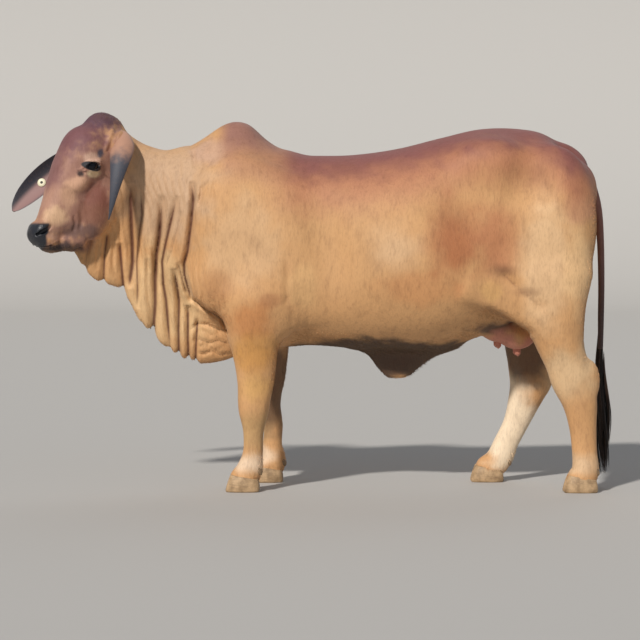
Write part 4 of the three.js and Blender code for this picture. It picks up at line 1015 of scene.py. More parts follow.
class Shader:
    """A node material under construction."""

    def __init__(self, name: str) -> None:
        """Starts an empty material with an output."""
        self.material = bpy.data.materials.new(name)
        self.material.use_nodes = True
        self.tree = self.material.node_tree
        self.tree.nodes.clear()
        self.output = self.add("OutputMaterial")

    def add(self, kind: str, settings: dict | None = None, links: dict | None = None) -> bpy.types.Node:
        """Adds a node.

        Args:
            kind: Its type, without the "ShaderNode" in front.
            settings: Its properties by name.
            links: Its inputs by identifier or name, as values, colour codes or sockets.

        Returns:
            The node.
        """
        node = self.tree.nodes.new("ShaderNode" + kind)
        for key, value in (settings or {}).items():
            setattr(node, key, value)
        for key, value in (links or {}).items():
            by_key = [s for s in node.inputs if s.identifier == key]
            found = by_key or [s for s in node.inputs if s.name == key]
            if isinstance(value, bpy.types.NodeSocket):
                self.tree.links.new(value, found[0])
            else:
                found[0].default_value = hex_colour(value) if isinstance(value, str) else value
        return node

    def mask(self, name: str) -> bpy.types.NodeSocket:
        """A float attribute of the mesh."""
        return self.add("Attribute", {"attribute_name": name}).outputs["Fac"]

    def place(self, scale: Point = (1, 1, 1)) -> bpy.types.NodeSocket:
        """Object coordinates, stretched."""
        start = self.add("TexCoord").outputs["Object"]
        return self.add("Mapping", links={"Vector": start, "Scale": tuple(scale)}).outputs["Vector"]

    def noise(self, size: float, place: bpy.types.NodeSocket, detail: float = 3.0) -> bpy.types.NodeSocket:
        """Noise with features of about `size` metres."""
        links = {"Vector": place, "Scale": 1 / size, "Detail": detail, "Roughness": 0.6}
        return self.add("TexNoise", links=links).outputs["Fac"]

    def math(self, kind: str, a: object, b: object = 0.0) -> bpy.types.NodeSocket:
        """A sum, product or other operation on two numbers."""
        return self.add("Math", {"operation": kind}, {"Value": a, "Value_001": b}).outputs[0]

    def ramp(
        self, value: bpy.types.NodeSocket, low: float, high: float, start: float = 0.0, end: float = 1.0
    ) -> bpy.types.NodeSocket:
        """Maps a number smoothly from low..high to start..end."""
        links = {"Value": value, "From Min": low, "From Max": high, "To Min": start, "To Max": end}
        return self.add("MapRange", {"interpolation_type": "SMOOTHSTEP"}, links).outputs["Result"]

    def mix(self, share: object, a: object, b: object) -> bpy.types.NodeSocket:
        """Mixes two colours."""
        return self.add(
            "Mix", {"data_type": "RGBA"}, {"Factor_Float": share, "A_Color": a, "B_Color": b}
        ).outputs[2]

    def finish(self, links: dict) -> bpy.types.Material:
        """Ends the material on a Principled shader with these inputs."""
        surface = self.add("BsdfPrincipled", links=links)
        self.tree.links.new(surface.outputs["BSDF"], self.output.inputs["Surface"])
        return self.material


class Finish(Protocol):
    """A finish that a piece is given."""

    def build(self) -> bpy.types.Material:
        """Makes its material."""


@dataclass(frozen=True)
class ShortCoat:
    """Short, sleek summer hair of a red Brahman, its colours painted on the skin as named patches.

    Attributes:
        shade: Colour of the darkest hairs, and of the painted shade at the bottoms of the folds.
        light: Colour of the hairs that catch the light.
    """

    shade: str = "5a2e1a"
    light: str = "e8bd8c"

    def build(self) -> bpy.types.Material:
        """Painted colours, broken up as single hairs catch the light."""
        s = Shader("ShortCoat")
        place = s.place()
        colour = s.add("Attribute", {"attribute_name": "coat"}).outputs["Color"]
        cloud = s.noise(0.11, s.place((0.8, 1, 0.6)), 6)
        streak = s.noise(0.02, s.place((1, 1, 0.28)), 4)
        brindle = s.noise(0.006, s.place((1, 1, 0.3)), 3)
        hair = s.noise(0.0016, s.place((1, 1, 0.25)), 2)
        fine = s.math("SUBTRACT", 1.0, s.mask("slate"))
        colour = s.mix(s.ramp(cloud, 0.45, 0.8, 0.0, 0.2), colour, self.shade)
        colour = s.mix(s.math("MULTIPLY", s.ramp(streak, 0.45, 0.85, 0.0, 0.3), fine), colour, self.shade)
        colour = s.mix(s.math("MULTIPLY", s.ramp(brindle, 0.42, 0.8, 0.0, 0.2), fine), colour, self.shade)
        colour = s.mix(s.math("MULTIPLY", s.ramp(hair, 0.5, 0.85, 0.0, 0.1), fine), colour, self.light)
        # painted shade: the bottoms of the folds are darkened towards the shade colour
        colour = s.mix(s.ramp(s.mask("fold"), 0.04, 0.45, 0.0, 0.92), colour, self.shade)
        pebble = s.add(
            "TexVoronoi", {"feature": "F1"}, {"Vector": place, "Scale": 1 / 0.0045}
        ).outputs["Distance"]
        height = s.math("ADD", s.math("MULTIPLY", hair, 0.4), s.math("MULTIPLY", brindle, 1.6))
        height = s.math("ADD", height, s.math("MULTIPLY", streak, 2.5))
        height = s.math("ADD", height, s.math("MULTIPLY", s.math("MULTIPLY", pebble, s.mask("muzzle")), -0.6))
        bump = s.add("Bump", links={"Strength": 0.4, "Distance": 0.0015, "Height": height}).outputs["Normal"]
        rough = s.ramp(s.mask("muzzle"), 0, 1, 0.66, 0.38)
        return s.finish({"Base Color": colour, "Roughness": rough, "Normal": bump, "Sheen Weight": 0.05})


@dataclass(frozen=True)
class EarCoat:
    """Thin short hair over the dark skin of an ear."""

    tan: str = "b78a72"
    plum: str = "93706c"
    slate: str = "40444f"
    # painted shade over the upper half of the inner face
    dark: str = "23232f"

    def build(self) -> bpy.types.Material:
        """Tan at the root, slate towards the tip and at the rim, mauve skin inside, and painted shade over
        the upper half of the inner face.
        """
        s = Shader("EarCoat")
        streak = s.noise(0.002, s.place((0.6, 1, 0.2)), 2)
        patch = s.noise(0.03, s.place(), 3)
        tip = s.ramp(s.math("ADD", s.mask("tip"), s.math("MULTIPLY", patch, 0.6)), 0.5, 1.2)
        colour = s.mix(tip, self.tan, self.slate)
        colour = s.mix(s.mask("inner"), colour, self.plum)
        colour = s.mix(s.math("MULTIPLY", s.mask("rim"), 0.45), colour, self.slate)
        # painted shade: the upper half of the inner face, where the blade curls over, is darkened
        colour = s.mix(s.math("MULTIPLY", s.mask("upper"), s.mask("inner")), colour, self.dark)
        colour = s.mix(s.ramp(streak, 0.45, 0.8, 0, 0.1), colour, self.tan)
        bump = s.add("Bump", links={"Strength": 0.3, "Distance": 0.0015, "Height": streak}).outputs["Normal"]
        return s.finish({"Base Color": colour, "Roughness": 0.62, "Normal": bump, "Sheen Weight": 0.1})


@dataclass(frozen=True)
class TuftHair:
    """The longer hairs at the edges of the form, in the painted colours of their roots."""

    light: str = "e8bd8c"
    roughness: float = 0.68

    def build(self) -> bpy.types.Material:
        """The painted colours, lifted a little towards a light tone as painted light against the shade
        between the locks.
        """
        s = Shader("TuftHair")
        colour = s.add("Attribute", {"attribute_name": "coat"}).outputs["Color"]
        # painted light: a share of a light tone lifts the colour of the locks
        colour = s.mix(0.12, colour, self.light)
        return s.finish({"Base Color": colour, "Roughness": self.roughness})


@dataclass(frozen=True)
class LongHair:
    """Long, coarse, dark hair of a tail, each strand of its own painted tone."""

    roughness: float = 0.46

    def build(self) -> bpy.types.Material:
        """The painted tones."""
        s = Shader("LongHair")
        colour = s.add("Attribute", {"attribute_name": "coat"}).outputs["Color"]
        return s.finish({"Base Color": colour, "Roughness": self.roughness})


@dataclass(frozen=True)
class HoofHorn:
    """Pale horn, with growth rings and a few darker streaks.

    Attributes:
        pale: Its colour near the coronet.
        worn: Its colour where it is dusty and worn.
    """

    pale: str = "c3a37c"
    worn: str = "8f7454"

    def build(self) -> bpy.types.Material:
        """Rings run level and streaks run down; both make it look grown, not moulded."""
        s = Shader("HoofHorn")
        ring = s.noise(0.004, s.place((0.12, 0.12, 1)), 3)
        streak = s.noise(0.006, s.place((1, 1, 0.15)), 3)
        cloud = s.noise(0.03, s.place(), 3)
        colour = s.mix(s.ramp(cloud, 0.35, 0.75), self.pale, self.worn)
        colour = s.mix(s.ramp(streak, 0.5, 0.8, 0.0, 0.45), colour, self.worn)
        colour = s.mix(s.ramp(ring, 0.45, 0.75, 0.0, 0.3), colour, "6d5740")
        bump = s.add("Bump", links={"Strength": 0.5, "Distance": 0.0012, "Height": ring}).outputs["Normal"]
        return s.finish({"Base Color": colour, "Roughness": 0.55, "Normal": bump})


@dataclass(frozen=True)
class Plain:
    """One colour and gloss all over."""

    name: str
    colour: str
    roughness: float
    specular: float = 0.5

    def build(self) -> bpy.types.Material:
        """The material."""
        links = {
            "Base Color": self.colour,
            "Roughness": self.roughness,
            "Specular IOR Level": self.specular,
        }
        return Shader(self.name).finish(links)


# Pieces


def mesh_of(name: str, points: np.ndarray, faces: np.ndarray | list) -> bpy.types.Mesh:
    """A smooth mesh from points in millimetres of the animal's own frame."""
    mesh = bpy.data.meshes.new(name)
    mesh.from_pydata(
        (np.asarray(points) * MM + SHIFT).tolist(), [], faces if isinstance(faces, list) else faces.tolist()
    )
    mesh.shade_smooth()
    return mesh


def set_mask(mesh: bpy.types.Mesh, name: str, values: np.ndarray) -> None:
    """Stores a number for each vertex."""
    layer = mesh.attributes.new(name, "FLOAT", "POINT")
    layer.data.foreach_set("value", np.clip(values, 0, 1).astype(np.float32))


def piece(name: str, mesh: bpy.types.Mesh, finish: Finish, replaces: Sequence[str] = ()) -> bpy.types.Object:
    """Makes a shown piece that rides on the model's one body.

    Args:
        name: The piece's name.
        mesh: Its mesh, in place.
        finish: Its finish.
        replaces: Names of the CAD nodes that it stands for.

    Returns:
        The piece.
    """
    obj = bpy.data.objects.new(name, mesh)
    bpy.context.collection.objects.link(obj)
    if not mesh.materials:
        mesh.materials.append(finish.build())
    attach(obj, "root")
    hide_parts(*replaces)
    log.info("%s: %d vertices, %d faces", name, len(mesh.vertices), len(mesh.polygons))
    return obj


def head_to_world(points: np.ndarray) -> np.ndarray:
    """Points of the head's own frame in the animal's."""
    matrix = np.array(Matrix.Rotation(math.radians(HEAD_YAW), 3, "Z"))
    return np.asarray(points, float) @ matrix.T + np.array(HEAD_PIVOT)


def head_to_local(points: np.ndarray) -> np.ndarray:
    """Points of the animal's frame in the head's own."""
    matrix = np.array(Matrix.Rotation(math.radians(HEAD_YAW), 3, "Z"))
    return (np.asarray(points, float) - np.array(HEAD_PIVOT)) @ matrix


def find_shift() -> np.ndarray:
    """Where the frame has put the animal's own origin, in metres, by its left eye."""
    low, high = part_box("left_eye")
    eye = head_to_world(np.array([[EYE_CENTRE[0], -EYE_CENTRE[1], EYE_CENTRE[2]]]))[0] * MM
    return np.array((low + high) / 2) - eye


SHIFT = find_shift()


def step(low: float, high: float, value: np.ndarray) -> np.ndarray:
    """Rises smoothly from 0 at low to 1 at high."""
    t = np.clip((value - low) / (high - low), 0, 1)
    return t * t * (3 - 2 * t)


def thinned(mesh: bpy.types.Mesh, triangles: int) -> bpy.types.Mesh:
    """A mesh with triangles joined where it is flattest, down to a number of them."""
    count = sum(len(face.vertices) - 2 for face in mesh.polygons)
    log.info("skin: %d triangles before thinning", count)
    if count <= triangles:
        return mesh
    obj = bpy.data.objects.new("thinning", mesh)
    bpy.context.collection.objects.link(obj)
    modifier = obj.modifiers.new("thin", "DECIMATE")
    modifier.ratio = triangles / count
    graph = bpy.context.evaluated_depsgraph_get()
    made = bpy.data.meshes.new_from_object(obj.evaluated_get(graph))
    bpy.data.objects.remove(obj)
    made.name = "skin"
    made.shade_smooth()
    return made


def paint(mesh: bpy.types.Mesh, colours: np.ndarray) -> None:
    """Stores a linear colour for each vertex."""
    layer = mesh.attributes.new("coat", "FLOAT_COLOR", "POINT")
    rows = np.concatenate([np.clip(colours, 0, 1), np.ones((len(colours), 1))], axis=1)
    layer.data.foreach_set("color", rows.astype(np.float32).ravel())


def ruffle(points: np.ndarray, size: float) -> np.ndarray:
    """A soft, uneven number from -1 to 1 at points, with features of about `size` millimetres."""
    total = np.zeros(len(points))
    for octave, weight in ((1.0, 0.6), (2.1, 0.3), (4.3, 0.16)):
        total += weight * np.array([noise.noise(Vector(q)) for q in (points * (octave / size)).tolist()])
    return np.clip(1.6 * total, -1, 1)


@dataclass(frozen=True)
class Patch:
    """A patch of colour in the coat.

    Attributes:
        colour: Its colour.
        centre: Its middle, for the animal's right; it is mirrored.
        radii: How far it reaches.
        strength: How much of the colour underneath it covers.
        soft: Share of its reach over which it fades.
    """

    colour: str
    centre: Point
    radii: Point
    strength: float = 0.8
    soft: float = 0.6

    def cover(self, points: np.ndarray, ragged: np.ndarray) -> np.ndarray:
        """How much it covers points, its edge ragged by a number from -1 to 1."""
        away = (points * [1, 0, 1] + np.abs(points) * [0, 1, 0] - self.centre) / self.radii
        reach = np.linalg.norm(away, axis=1) + 0.22 * ragged
        return self.strength * step(1.0, 1.0 - self.soft, reach)


@dataclass(frozen=True)
class Paint:
    """The colours of the coat, from the darker topline to the pale lower legs."""

    anatomy: Anatomy
    base: str = "d2a06c"

    def body(self) -> list[Patch]:
        """Patches of the trunk, neck and legs, in order, with painted shadow under the belly and the flank,
        painted shade along the fold of the flank, and a painted shadow of the ear on the neck.
        """
        return [
            Patch("cf9f6c", (60, 270, 960), (330, 260, 290), 0.9),
            Patch("deb78c", (290, 300, 935), (150, 160, 140), 0.75, 0.9),
            Patch("cf9460", (380, 300, 785), (210, 150, 90), 0.75),
            Patch("e0b27a", (-70, 260, 790), (80, 200, 110), 0.7),
            Patch("e0b070", (650, 280, 775), (60, 150, 60), 0.7),
            Patch("b06a40", (505, 300, 975), (150, 160, 225), 0.85, 0.85),
            Patch("b97750", (665, 280, 970), (150, 160, 220), 0.8, 0.9),
            Patch("d8ae80", (-290, 250, 960), (210, 230, 230), 0.85),
            Patch("c9a684", (-580, 110, 1160), (290, 220, 280), 0.9),
            Patch("e3bd8b", (-600, 60, 740), (260, 140, 280), 0.9),
            Patch("c59f88", (-420, 140, 1310), (110, 200, 80), 0.7),
            Patch("c4834c", (-265, 260, 660), (120, 160, 100), 0.8),
            Patch("b07a4e", (-390, 220, 790), (80, 120, 90), 0.5),
            Patch("e4bc8e", (860, 260, 880), (135, 220, 340), 0.9),
            Patch("f2c792", (985, 240, 850), (90, 180, 210), 0.85),
            Patch("d6a07c", (985, 200, 1090), (90, 170, 80), 0.6),
            # painted shade along the fold of the flank, in this and the next patch
            Patch("6e4730", (694, 280, 850), (80, 160, 30), 0.6, 0.9),
            Patch("7c5138", (780, 260, 770), (90, 150, 26), 0.4, 0.9),
            Patch("a56a42", (-190, 250, 740), (60, 120, 40), 0.5),
            Patch("ce944c", (-250, 200, 540), (110, 130, 110), 0.8),
            Patch("d2a260", (-250, 165, 400), (90, 130, 80), 0.8),
            Patch("c8a26e", (-250, 165, 240), (110, 130, 110), 0.8),
            Patch("ecd2b4", (-255, 165, 110), (120, 130, 50), 0.8),
            Patch("d8b88e", (950, 200, 470), (150, 130, 150), 0.8),
            Patch("c99866", (1010, 190, 270), (120, 130, 120), 0.75),
            Patch("dcbc96", (1000, 190, 110), (120, 130, 60), 0.75),
            # painted shadow under the belly and the navel flap
            Patch("42332a", (240, 0, 520), (460, 262, 112), 0.93, 0.3),
            # painted shadow under the flank, above the udder
            Patch("3e2e26", (640, 0, 650), (170, 216, 66), 0.9, 0.35),
            Patch("cb8670", (735, 0, 584), (134, 130, 92), 0.97, 0.25),
            # painted shadow of the ear on the neck
            Patch("86644c", (-735, 120, 1060), (44, 130, 210), 0.6, 0.7),
        ]

    def far_legs(self) -> list[Patch]:
        """The inner sides of the far legs, pale behind, and darker with painted shadow where they are close
        to the belly.
        """
        return [
            Patch("f6e0c0", (750, 170, 240), (150, 140, 260), 0.97, 0.4),
            # painted shadow of the body over the upper far hind leg
            Patch("4a3a30", (790, 120, 530), (230, 105, 150), 0.8, 0.45),
            # painted shadow over the far foreleg
            Patch("5c4636", (-190, 130, 400), (100, 90, 260), 0.8, 0.5),
        ]

    def head(self) -> list[Patch]:
        """Patches of the head, in its own frame, in order, with painted shade on the poll and along the lower
        jaw, and painted shadow under the chin.
        """
        return [
            Patch("a67a69", (-180, 0, 1180), (340, 320, 440), 1.0),
            Patch("764a50", (-180, 0, 1385), (170, 180, 160), 0.95),
            # plum of the poll, darkened further as painted shade
            Patch("5a3d4c", (-60, 0, 1450), (130, 140, 100), 0.95),
            Patch("845a58", (-270, 0, 1240), (80, 80, 150), 0.9),
            Patch("dcb49c", (-150, 112, 1280), (56, 40, 34), 0.9),
            Patch("e0b090", (-205, 95, 1182), (64, 54, 44), 0.85),
            Patch("7c4638", (-130, 95, 1118), (70, 80, 100), 0.9),
            # painted shade along the lower jaw
            Patch("865844", (-140, 85, 1060), (100, 80, 66), 0.75),
            Patch("dcae8c", (-240, 75, 1135), (50, 54, 60), 0.75),
            Patch("b88c76", (-295, 40, 1120), (60, 66, 80), 0.8),
            Patch("dcb48e", (-285, 55, 1060), (66, 66, 50), 0.9),
            # painted shade under the lower jaw
            Patch("6a4f48", (-180, 60, 1004), (110, 74, 44), 0.85),
            Patch("c19982", (-297, 55, 990), (40, 44, 30), 0.6),
            Patch("ecd2a8", (-144, 108, 1222), (46, 40, 20), 0.9),
            Patch("3e4658", (-114, 100, 1300), (20, 40, 24), 0.9),
            Patch("2c2226", (-196, 94, 1222), (17, 30, 16), 0.9),
            # painted shadow under the jaw and the chin
            Patch("33292c", (-235, 0, 935), (120, 100, 48), 0.9, 0.5),
            # dark skin of the lower lip, with painted shadow under the chin
            Patch("282226", (-290, 0, 915), (76, 92, 44), 0.95, 0.35),
        ]

    def colours(self, points: np.ndarray, head: np.ndarray) -> np.ndarray:
        """Linear colours at points.

        Args:
            points: The points, in the animal's frame.
            head: The same points in the head's frame.

        Returns:
            One colour for each.
        """
        ragged = ruffle(points, 70)
        small = ruffle(points, 24)
        tone = np.tile(rgb(self.base), (len(points), 1))

        def lay(colour: str, cover: np.ndarray) -> None:
            """Covers the colours with one more."""
            tone[:] += cover[:, None] * (rgb(colour) - tone)

        for patch in self.body():
            lay(patch.colour, patch.cover(points, ragged))
        for patch in self.far_legs():
            lay(patch.colour, patch.cover(points, ragged) * (points[:, 1] > 0))
        trunk = self.anatomy.trunk()
        top = np.interp(points[:, 0], trunk.fine, trunk.columns["z"] + trunk.columns["up"])
        under = top - points[:, 2] + 30 * ragged + 7 * small
        behind = step(-260, -60, points[:, 0])
        lay("b87a58", 0.9 * behind * step(300, 110, under))
        lay("804a4a", 0.9 * behind * step(150, 20, under))
        hump = step(-410, -340, points[:, 0]) * step(-100, -190, points[:, 0])
        lay("b58060", 0.7 * hump * step(1150, 1250, points[:, 2] + 20 * ragged))
        lay("96695f", 0.85 * hump * step(1270, 1370, points[:, 2] + 24 * ragged))
        on_head = step(30, -30, head[:, 0] + 34 + 0.3 * (1200 - head[:, 2])) * step(905, 940, points[:, 2])
        on_head *= step(-600, -700, points[:, 0])
        for patch in self.head():
            lay(patch.colour, on_head * patch.cover(head, small))
        return tone


@dataclass
class Skin:
    """The one skin of the animal.

    Attributes:
        anatomy: The masses it covers.
        coat: Depth of the coat left outside it, in millimetres.
        grid: The grid it is meshed on.
        triangles: The most triangles it keeps.
        nodes: The CAD nodes besides the legs that it stands for.
    """

    anatomy: Anatomy
    coat: float = 2.0
    grid: Grid = field(default_factory=Grid)
    triangles: int = 194_000
    nodes: tuple[str, ...] = (
        "head", "neck", "torso", "hump", "dewlap_throat", "dewlap_brisket", "navel_flap", "udder"
    )

    def build(self) -> bpy.types.Object:
        """Meshes the skin and stores its masks."""
        self.body = self.anatomy.whole()

        def inside(points: np.ndarray) -> np.ndarray:
            """Distance to the skin under the coat."""
            return self.body.distance(points) + self.coat

        self.inside = inside
        net = SurfaceNet(inside, self.grid)
        cell = self.grid.side_at(net.points[:, 0])
        points = settle(inside, net.points, 0.3 * cell, 3)
        points = self.eased(points, net.quads)
        mesh = mesh_of("skin", points, net.quads)
        self.refine(mesh)
        mesh = thinned(mesh, self.triangles)
        self.mark(mesh)
        legs = [
            f"{side}_{end}_leg_{part}"
            for side in ("left", "right")
            for end in ("fore", "hind")
            for part in ("upper", "lower")
        ]
        return piece("skin", mesh, ShortCoat(), (*self.nodes, *legs))

    def eased(self, points: np.ndarray, quads: np.ndarray) -> np.ndarray:
        """Points evened with their neighbours in the pleats and round the foot of the hump."""
        pleated = np.zeros(len(points))
        for _, shape, _ in self.body.steps:
            if isinstance(shape, Crease):
                pleated = np.maximum(pleated, step(0.5, 3, shape.offset(points)))
        ends = np.concatenate([quads[:, [k, (k + 1) % 4]] for k in range(4)])
        foot = step(-480, -440, points[:, 0]) * step(-30, -80, points[:, 0]) * step(1190, 1230, points[:, 2])
        for turn in range(16):
            share = np.maximum(pleated * (turn < 5), foot)
            total = np.zeros_like(points)
            for axis in range(3):
                total[:, axis] = np.bincount(ends[:, 0], points[ends[:, 1], axis], len(points))
            count = np.bincount(ends[:, 0], minlength=len(points))
            points = points + 0.5 * share[:, None] * (total / np.maximum(count, 1)[:, None] - points)
        return points

    def read(self, mesh: bpy.types.Mesh) -> np.ndarray:
        """A mesh's points in the animal's millimetres."""
        co = np.empty(len(mesh.vertices) * 3, np.float32)
        mesh.vertices.foreach_get("co", co)
        return (co.reshape(-1, 3).astype(float) - SHIFT) / MM

    def refine(self, mesh: bpy.types.Mesh) -> None:
        """Splits the faces round the eyes, nostrils and mouth, and draws them onto the form."""
        spots = [((EYE_CENTRE[0] - 4, s * (EYE_CENTRE[1] + 18), EYE_CENTRE[2]), 54) for s in (-1, 1)]
        spots += [((-332, s * 44, 1003), 34) for s in (-1, 1)]
        spots += [((-292, s * 50, 958), 44) for s in (-1, 1)]
        centres = head_to_world(np.array([c for c, _ in spots]))
        for level, share in enumerate((1.0, 0.72)):
            bm = bmesh.new()
            bm.from_mesh(mesh)
            points = self.read(mesh)
            near = np.zeros(len(points), bool)
            for centre, (_, reach) in zip(centres, spots):
                near |= np.linalg.norm(points - centre, axis=1) < reach * share
            bm.verts.ensure_lookup_table()
            edges = [e for e in bm.edges if near[e.verts[0].index] and near[e.verts[1].index]]
            bmesh.ops.subdivide_edges(bm, edges=edges, cuts=1, use_grid_fill=True)
            bm.to_mesh(mesh)
            bm.free()
            points = self.read(mesh)
            chosen = np.zeros(len(points), bool)
            for centre, (_, reach) in zip(centres, spots):
                chosen |= np.linalg.norm(points - centre, axis=1) < reach * share + 6
            points[chosen] = settle(self.inside, points[chosen], 1.5 / (level + 1), 3)
            mesh.vertices.foreach_set("co", ((points * MM) + SHIFT).astype(np.float32).ravel())
        mesh.update()

    def mark(self, mesh: bpy.types.Mesh) -> None:
        """Paints the coat, and stores where the skin is bare and slate, and where it is folded, which the
        coat darkens as painted shade.
        """
        p = self.read(mesh)
        head = head_to_local(p)
        muzzle_edge = np.interp(head[:, 2], [940, 985, 1000, 1030], [-316, -322, -309, -306])
        slate = step(3, -7, head[:, 0] - muzzle_edge) * step(1038, 1026, head[:, 2])
        set_mask(mesh, "muzzle", slate)
        for s in (-1, 1):
            slate = np.maximum(slate, step(1.3, 1.1, self.lid_distance(head, s)))
        # how far each point lies down a fold, for the painted shade in the folds
        fold = np.zeros(len(p))
        for kind, shape, _ in self.body.steps:
            if kind == "fold":
                fold = np.maximum(
                    fold, np.clip(shape.offset(p) / shape.depth, 0, 1) * min(shape.depth / 20, 1)
                )
        colours = Paint(self.anatomy).colours(p, head)
        colours += slate[:, None] * (rgb("22262d") - colours)
        paint(mesh, colours)
        set_mask(mesh, "slate", slate)
        set_mask(mesh, "fold", 0.55 * fold**2)

    def lid_distance(self, head: np.ndarray, s: int) -> np.ndarray:
        """Distance from the middle of an eye, 1 at the rim of the opening between its lids."""
        d = head - [EYE_CENTRE[0] - 6, s * (EYE_CENTRE[1] + 20), EYE_CENTRE[2] - 1]
        u = d[:, 0] * math.cos(LID_SLANT) - d[:, 2] * math.sin(LID_SLANT)
        v = d[:, 2] * math.cos(LID_SLANT) + d[:, 0] * math.sin(LID_SLANT)
        return np.linalg.norm(np.stack([u / 35, v / 14, d[:, 1] / 40], axis=1), axis=1)


@dataclass
class Ear:
    """A long hanging ear.

    Attributes:
        node: The CAD node it stands for.
        leaf: Its blade.
        thick: Thickness of its blade at the middle.
    """

    node: str
    leaf: Leaf
    thick: float = 9.0

    def build(self) -> bpy.types.Object:
        """Both faces of the blade, rounded at the edges."""
        across = np.sin(np.linspace(-1, 1, 27) * math.pi / 2)
        rings = []
        for share in 1 - (1 - np.linspace(0, 1, 72)) ** 1.15:
            full = self.thick * (1 + 0.9 * (1 - step(0, 0.3, np.array(share)))) * (1 - 0.35 * share)
            half = full / 2 * np.sqrt(np.clip(1 - 0.8 * across**2 - 0.15 * across**4, 0.03, 1))
            wave = 1.4 * np.sin(9 * share + 2 * across) * across**2
            outer = self.leaf.point(share, across, full / 2 - half + wave)
            inner = self.leaf.point(share, across, full / 2 + half + wave)[::-1]
            rings.append(np.concatenate([outer, inner]))
        points, faces = loft(np.array(rings))
        mesh = outward(mesh_of(self.node, points, faces))
        sheet = np.tile(np.concatenate([across, across[::-1]]), 72)
        long = np.repeat(1 - (1 - np.linspace(0, 1, 72)) ** 1.15, 54)
        face = np.tile(np.concatenate([np.zeros(27), np.ones(27)]), 72)
        pad = lambda values: np.concatenate([values, values[:1], values[-1:]])
        lift = points[:-2, 2] - np.repeat([ring[:, 2].mean() for ring in np.array(rings)], 54)
        # the upper half of the blade, which the ear coat darkens on its inner face as painted shade
        set_mask(mesh, "upper", pad(step(-4, 12, lift)))
        set_mask(mesh, "inner", pad(face))
        set_mask(mesh, "rim", pad(step(0.72, 1.0, np.abs(sheet))))
        set_mask(mesh, "tip", pad(step(0.12, 0.6, long)))
        return piece(f"{self.node}_blade", mesh, EarCoat(), (self.node,))


def outward(mesh: bpy.types.Mesh) -> bpy.types.Mesh:
    """Turns a closed mesh's faces outwards."""
    bm = bmesh.new()
    bm.from_mesh(mesh)
    bmesh.ops.recalc_face_normals(bm, faces=bm.faces)
    bm.to_mesh(mesh)
    bm.free()
    mesh.shade_smooth()
    return mesh


@dataclass
class Eye:
    """An eyeball.

    Attributes:
        side: The side it is on.
    """

    side: Side

    def build(self) -> bpy.types.Object:
        """A ball, smooth and wet."""
        bm = bmesh.new()
        bmesh.ops.create_uvsphere(bm, u_segments=48, v_segments=28, radius=EYE_RADIUS * MM)
        centre = head_to_world(np.array([[EYE_CENTRE[0], self.side.value * EYE_CENTRE[1], EYE_CENTRE[2]]]))[0]
        bm.transform(Matrix.Translation(Vector(centre * MM + SHIFT)))
        name = f"{self.side.name.lower()}_eye"
        mesh = bpy.data.meshes.new(name)
        bm.to_mesh(mesh)
        bm.free()
        mesh.shade_smooth()
        return piece(f"{name}_ball", mesh, Plain("WetEye", "0b0d14", 0.06, 0.3), (name,))


def loft(rings: np.ndarray) -> tuple[np.ndarray, list]:
    """A closed skin over rings of equally many points, with a point of its own at each end."""
    count, sides = rings.shape[:2]
    points = np.concatenate([rings.reshape(-1, 3), rings[0].mean(0)[None], rings[-1].mean(0)[None]])
    faces = []
    for k in range(sides):
        n = (k + 1) % sides
        end = (count - 1) * sides
        faces += [(count * sides, n, k), (count * sides + 1, end + k, end + n)]
        faces += [(r + k, r + n, r + sides + n, r + sides + k) for r in range(0, end, sides)]
    return points, faces


def renumbered(faces: list, first: int) -> list[tuple[int, ...]]:
    """Faces whose vertices count from `first`."""
    return [tuple(i + first for i in face) for face in faces]


CORONET_HEIGHT = 58.0
CORONET_SLOPE = 0.17


@dataclass
class Claw:
    """Half of a cloven hoof.

    Attributes:
        node: The CAD node it stands for.
        x: Middle of the foot.
        y: Cleft of the foot.
        out: -1 for the left claw, 1 for the right.
    """

    node: str
    x: float
    y: float
    out: int

    def build(self) -> bpy.types.Object:
        """Flat sole, upright inner wall, toe drawn forward."""
        shares = [0, 0.02, 0.06, 0.12, 0.25, 0.4, 0.6, 0.8, 0.92, 1]
        keys = [0, 0.12, 0.6, 1]
        toe = through(keys, [72, 73, 64, 54], np.array(shares)) - np.array([3, 1] + [0] * 8)
        heel = through(keys, [54, 57, 56, 51], np.array(shares)) - np.array([2, 1] + [0] * 8)
        inner = through(keys, [3, 2.5, 2.5, 3], np.array(shares)) + np.array([1, 0.4] + [0] * 8)
        outer = through(keys, [50, 53, 53, 48], np.array(shares)) - np.array([2, 0.6] + [0] * 8)
        angle = np.linspace(0, 2 * math.pi, 40, endpoint=False)
        c, n = np.cos(angle), np.sin(angle)
        rings = []
        for share, t, h, i, o in zip(shares, toe, heel, inner, outer):
            px = np.where(c > 0, c * h, c * t)
            middle = (i + o) / 2 - np.where(c < 0, c * c * 5, 0)
            side = np.where(n < 0, middle - i, o - middle)
            square = np.sign(n) * np.abs(n) ** 0.7
            top = CORONET_HEIGHT - CORONET_SLOPE * px
            rings.append(
                np.stack(
                    [self.x + px, self.y + self.out * (middle + square * side), share * top + 0 * px],
                    axis=1,
                ),
            )
        points, faces = loft(np.array(rings))
        mesh = outward(mesh_of(self.node, points, faces))
        return piece(f"{self.node}_horn", mesh, HoofHorn(), (self.node,))


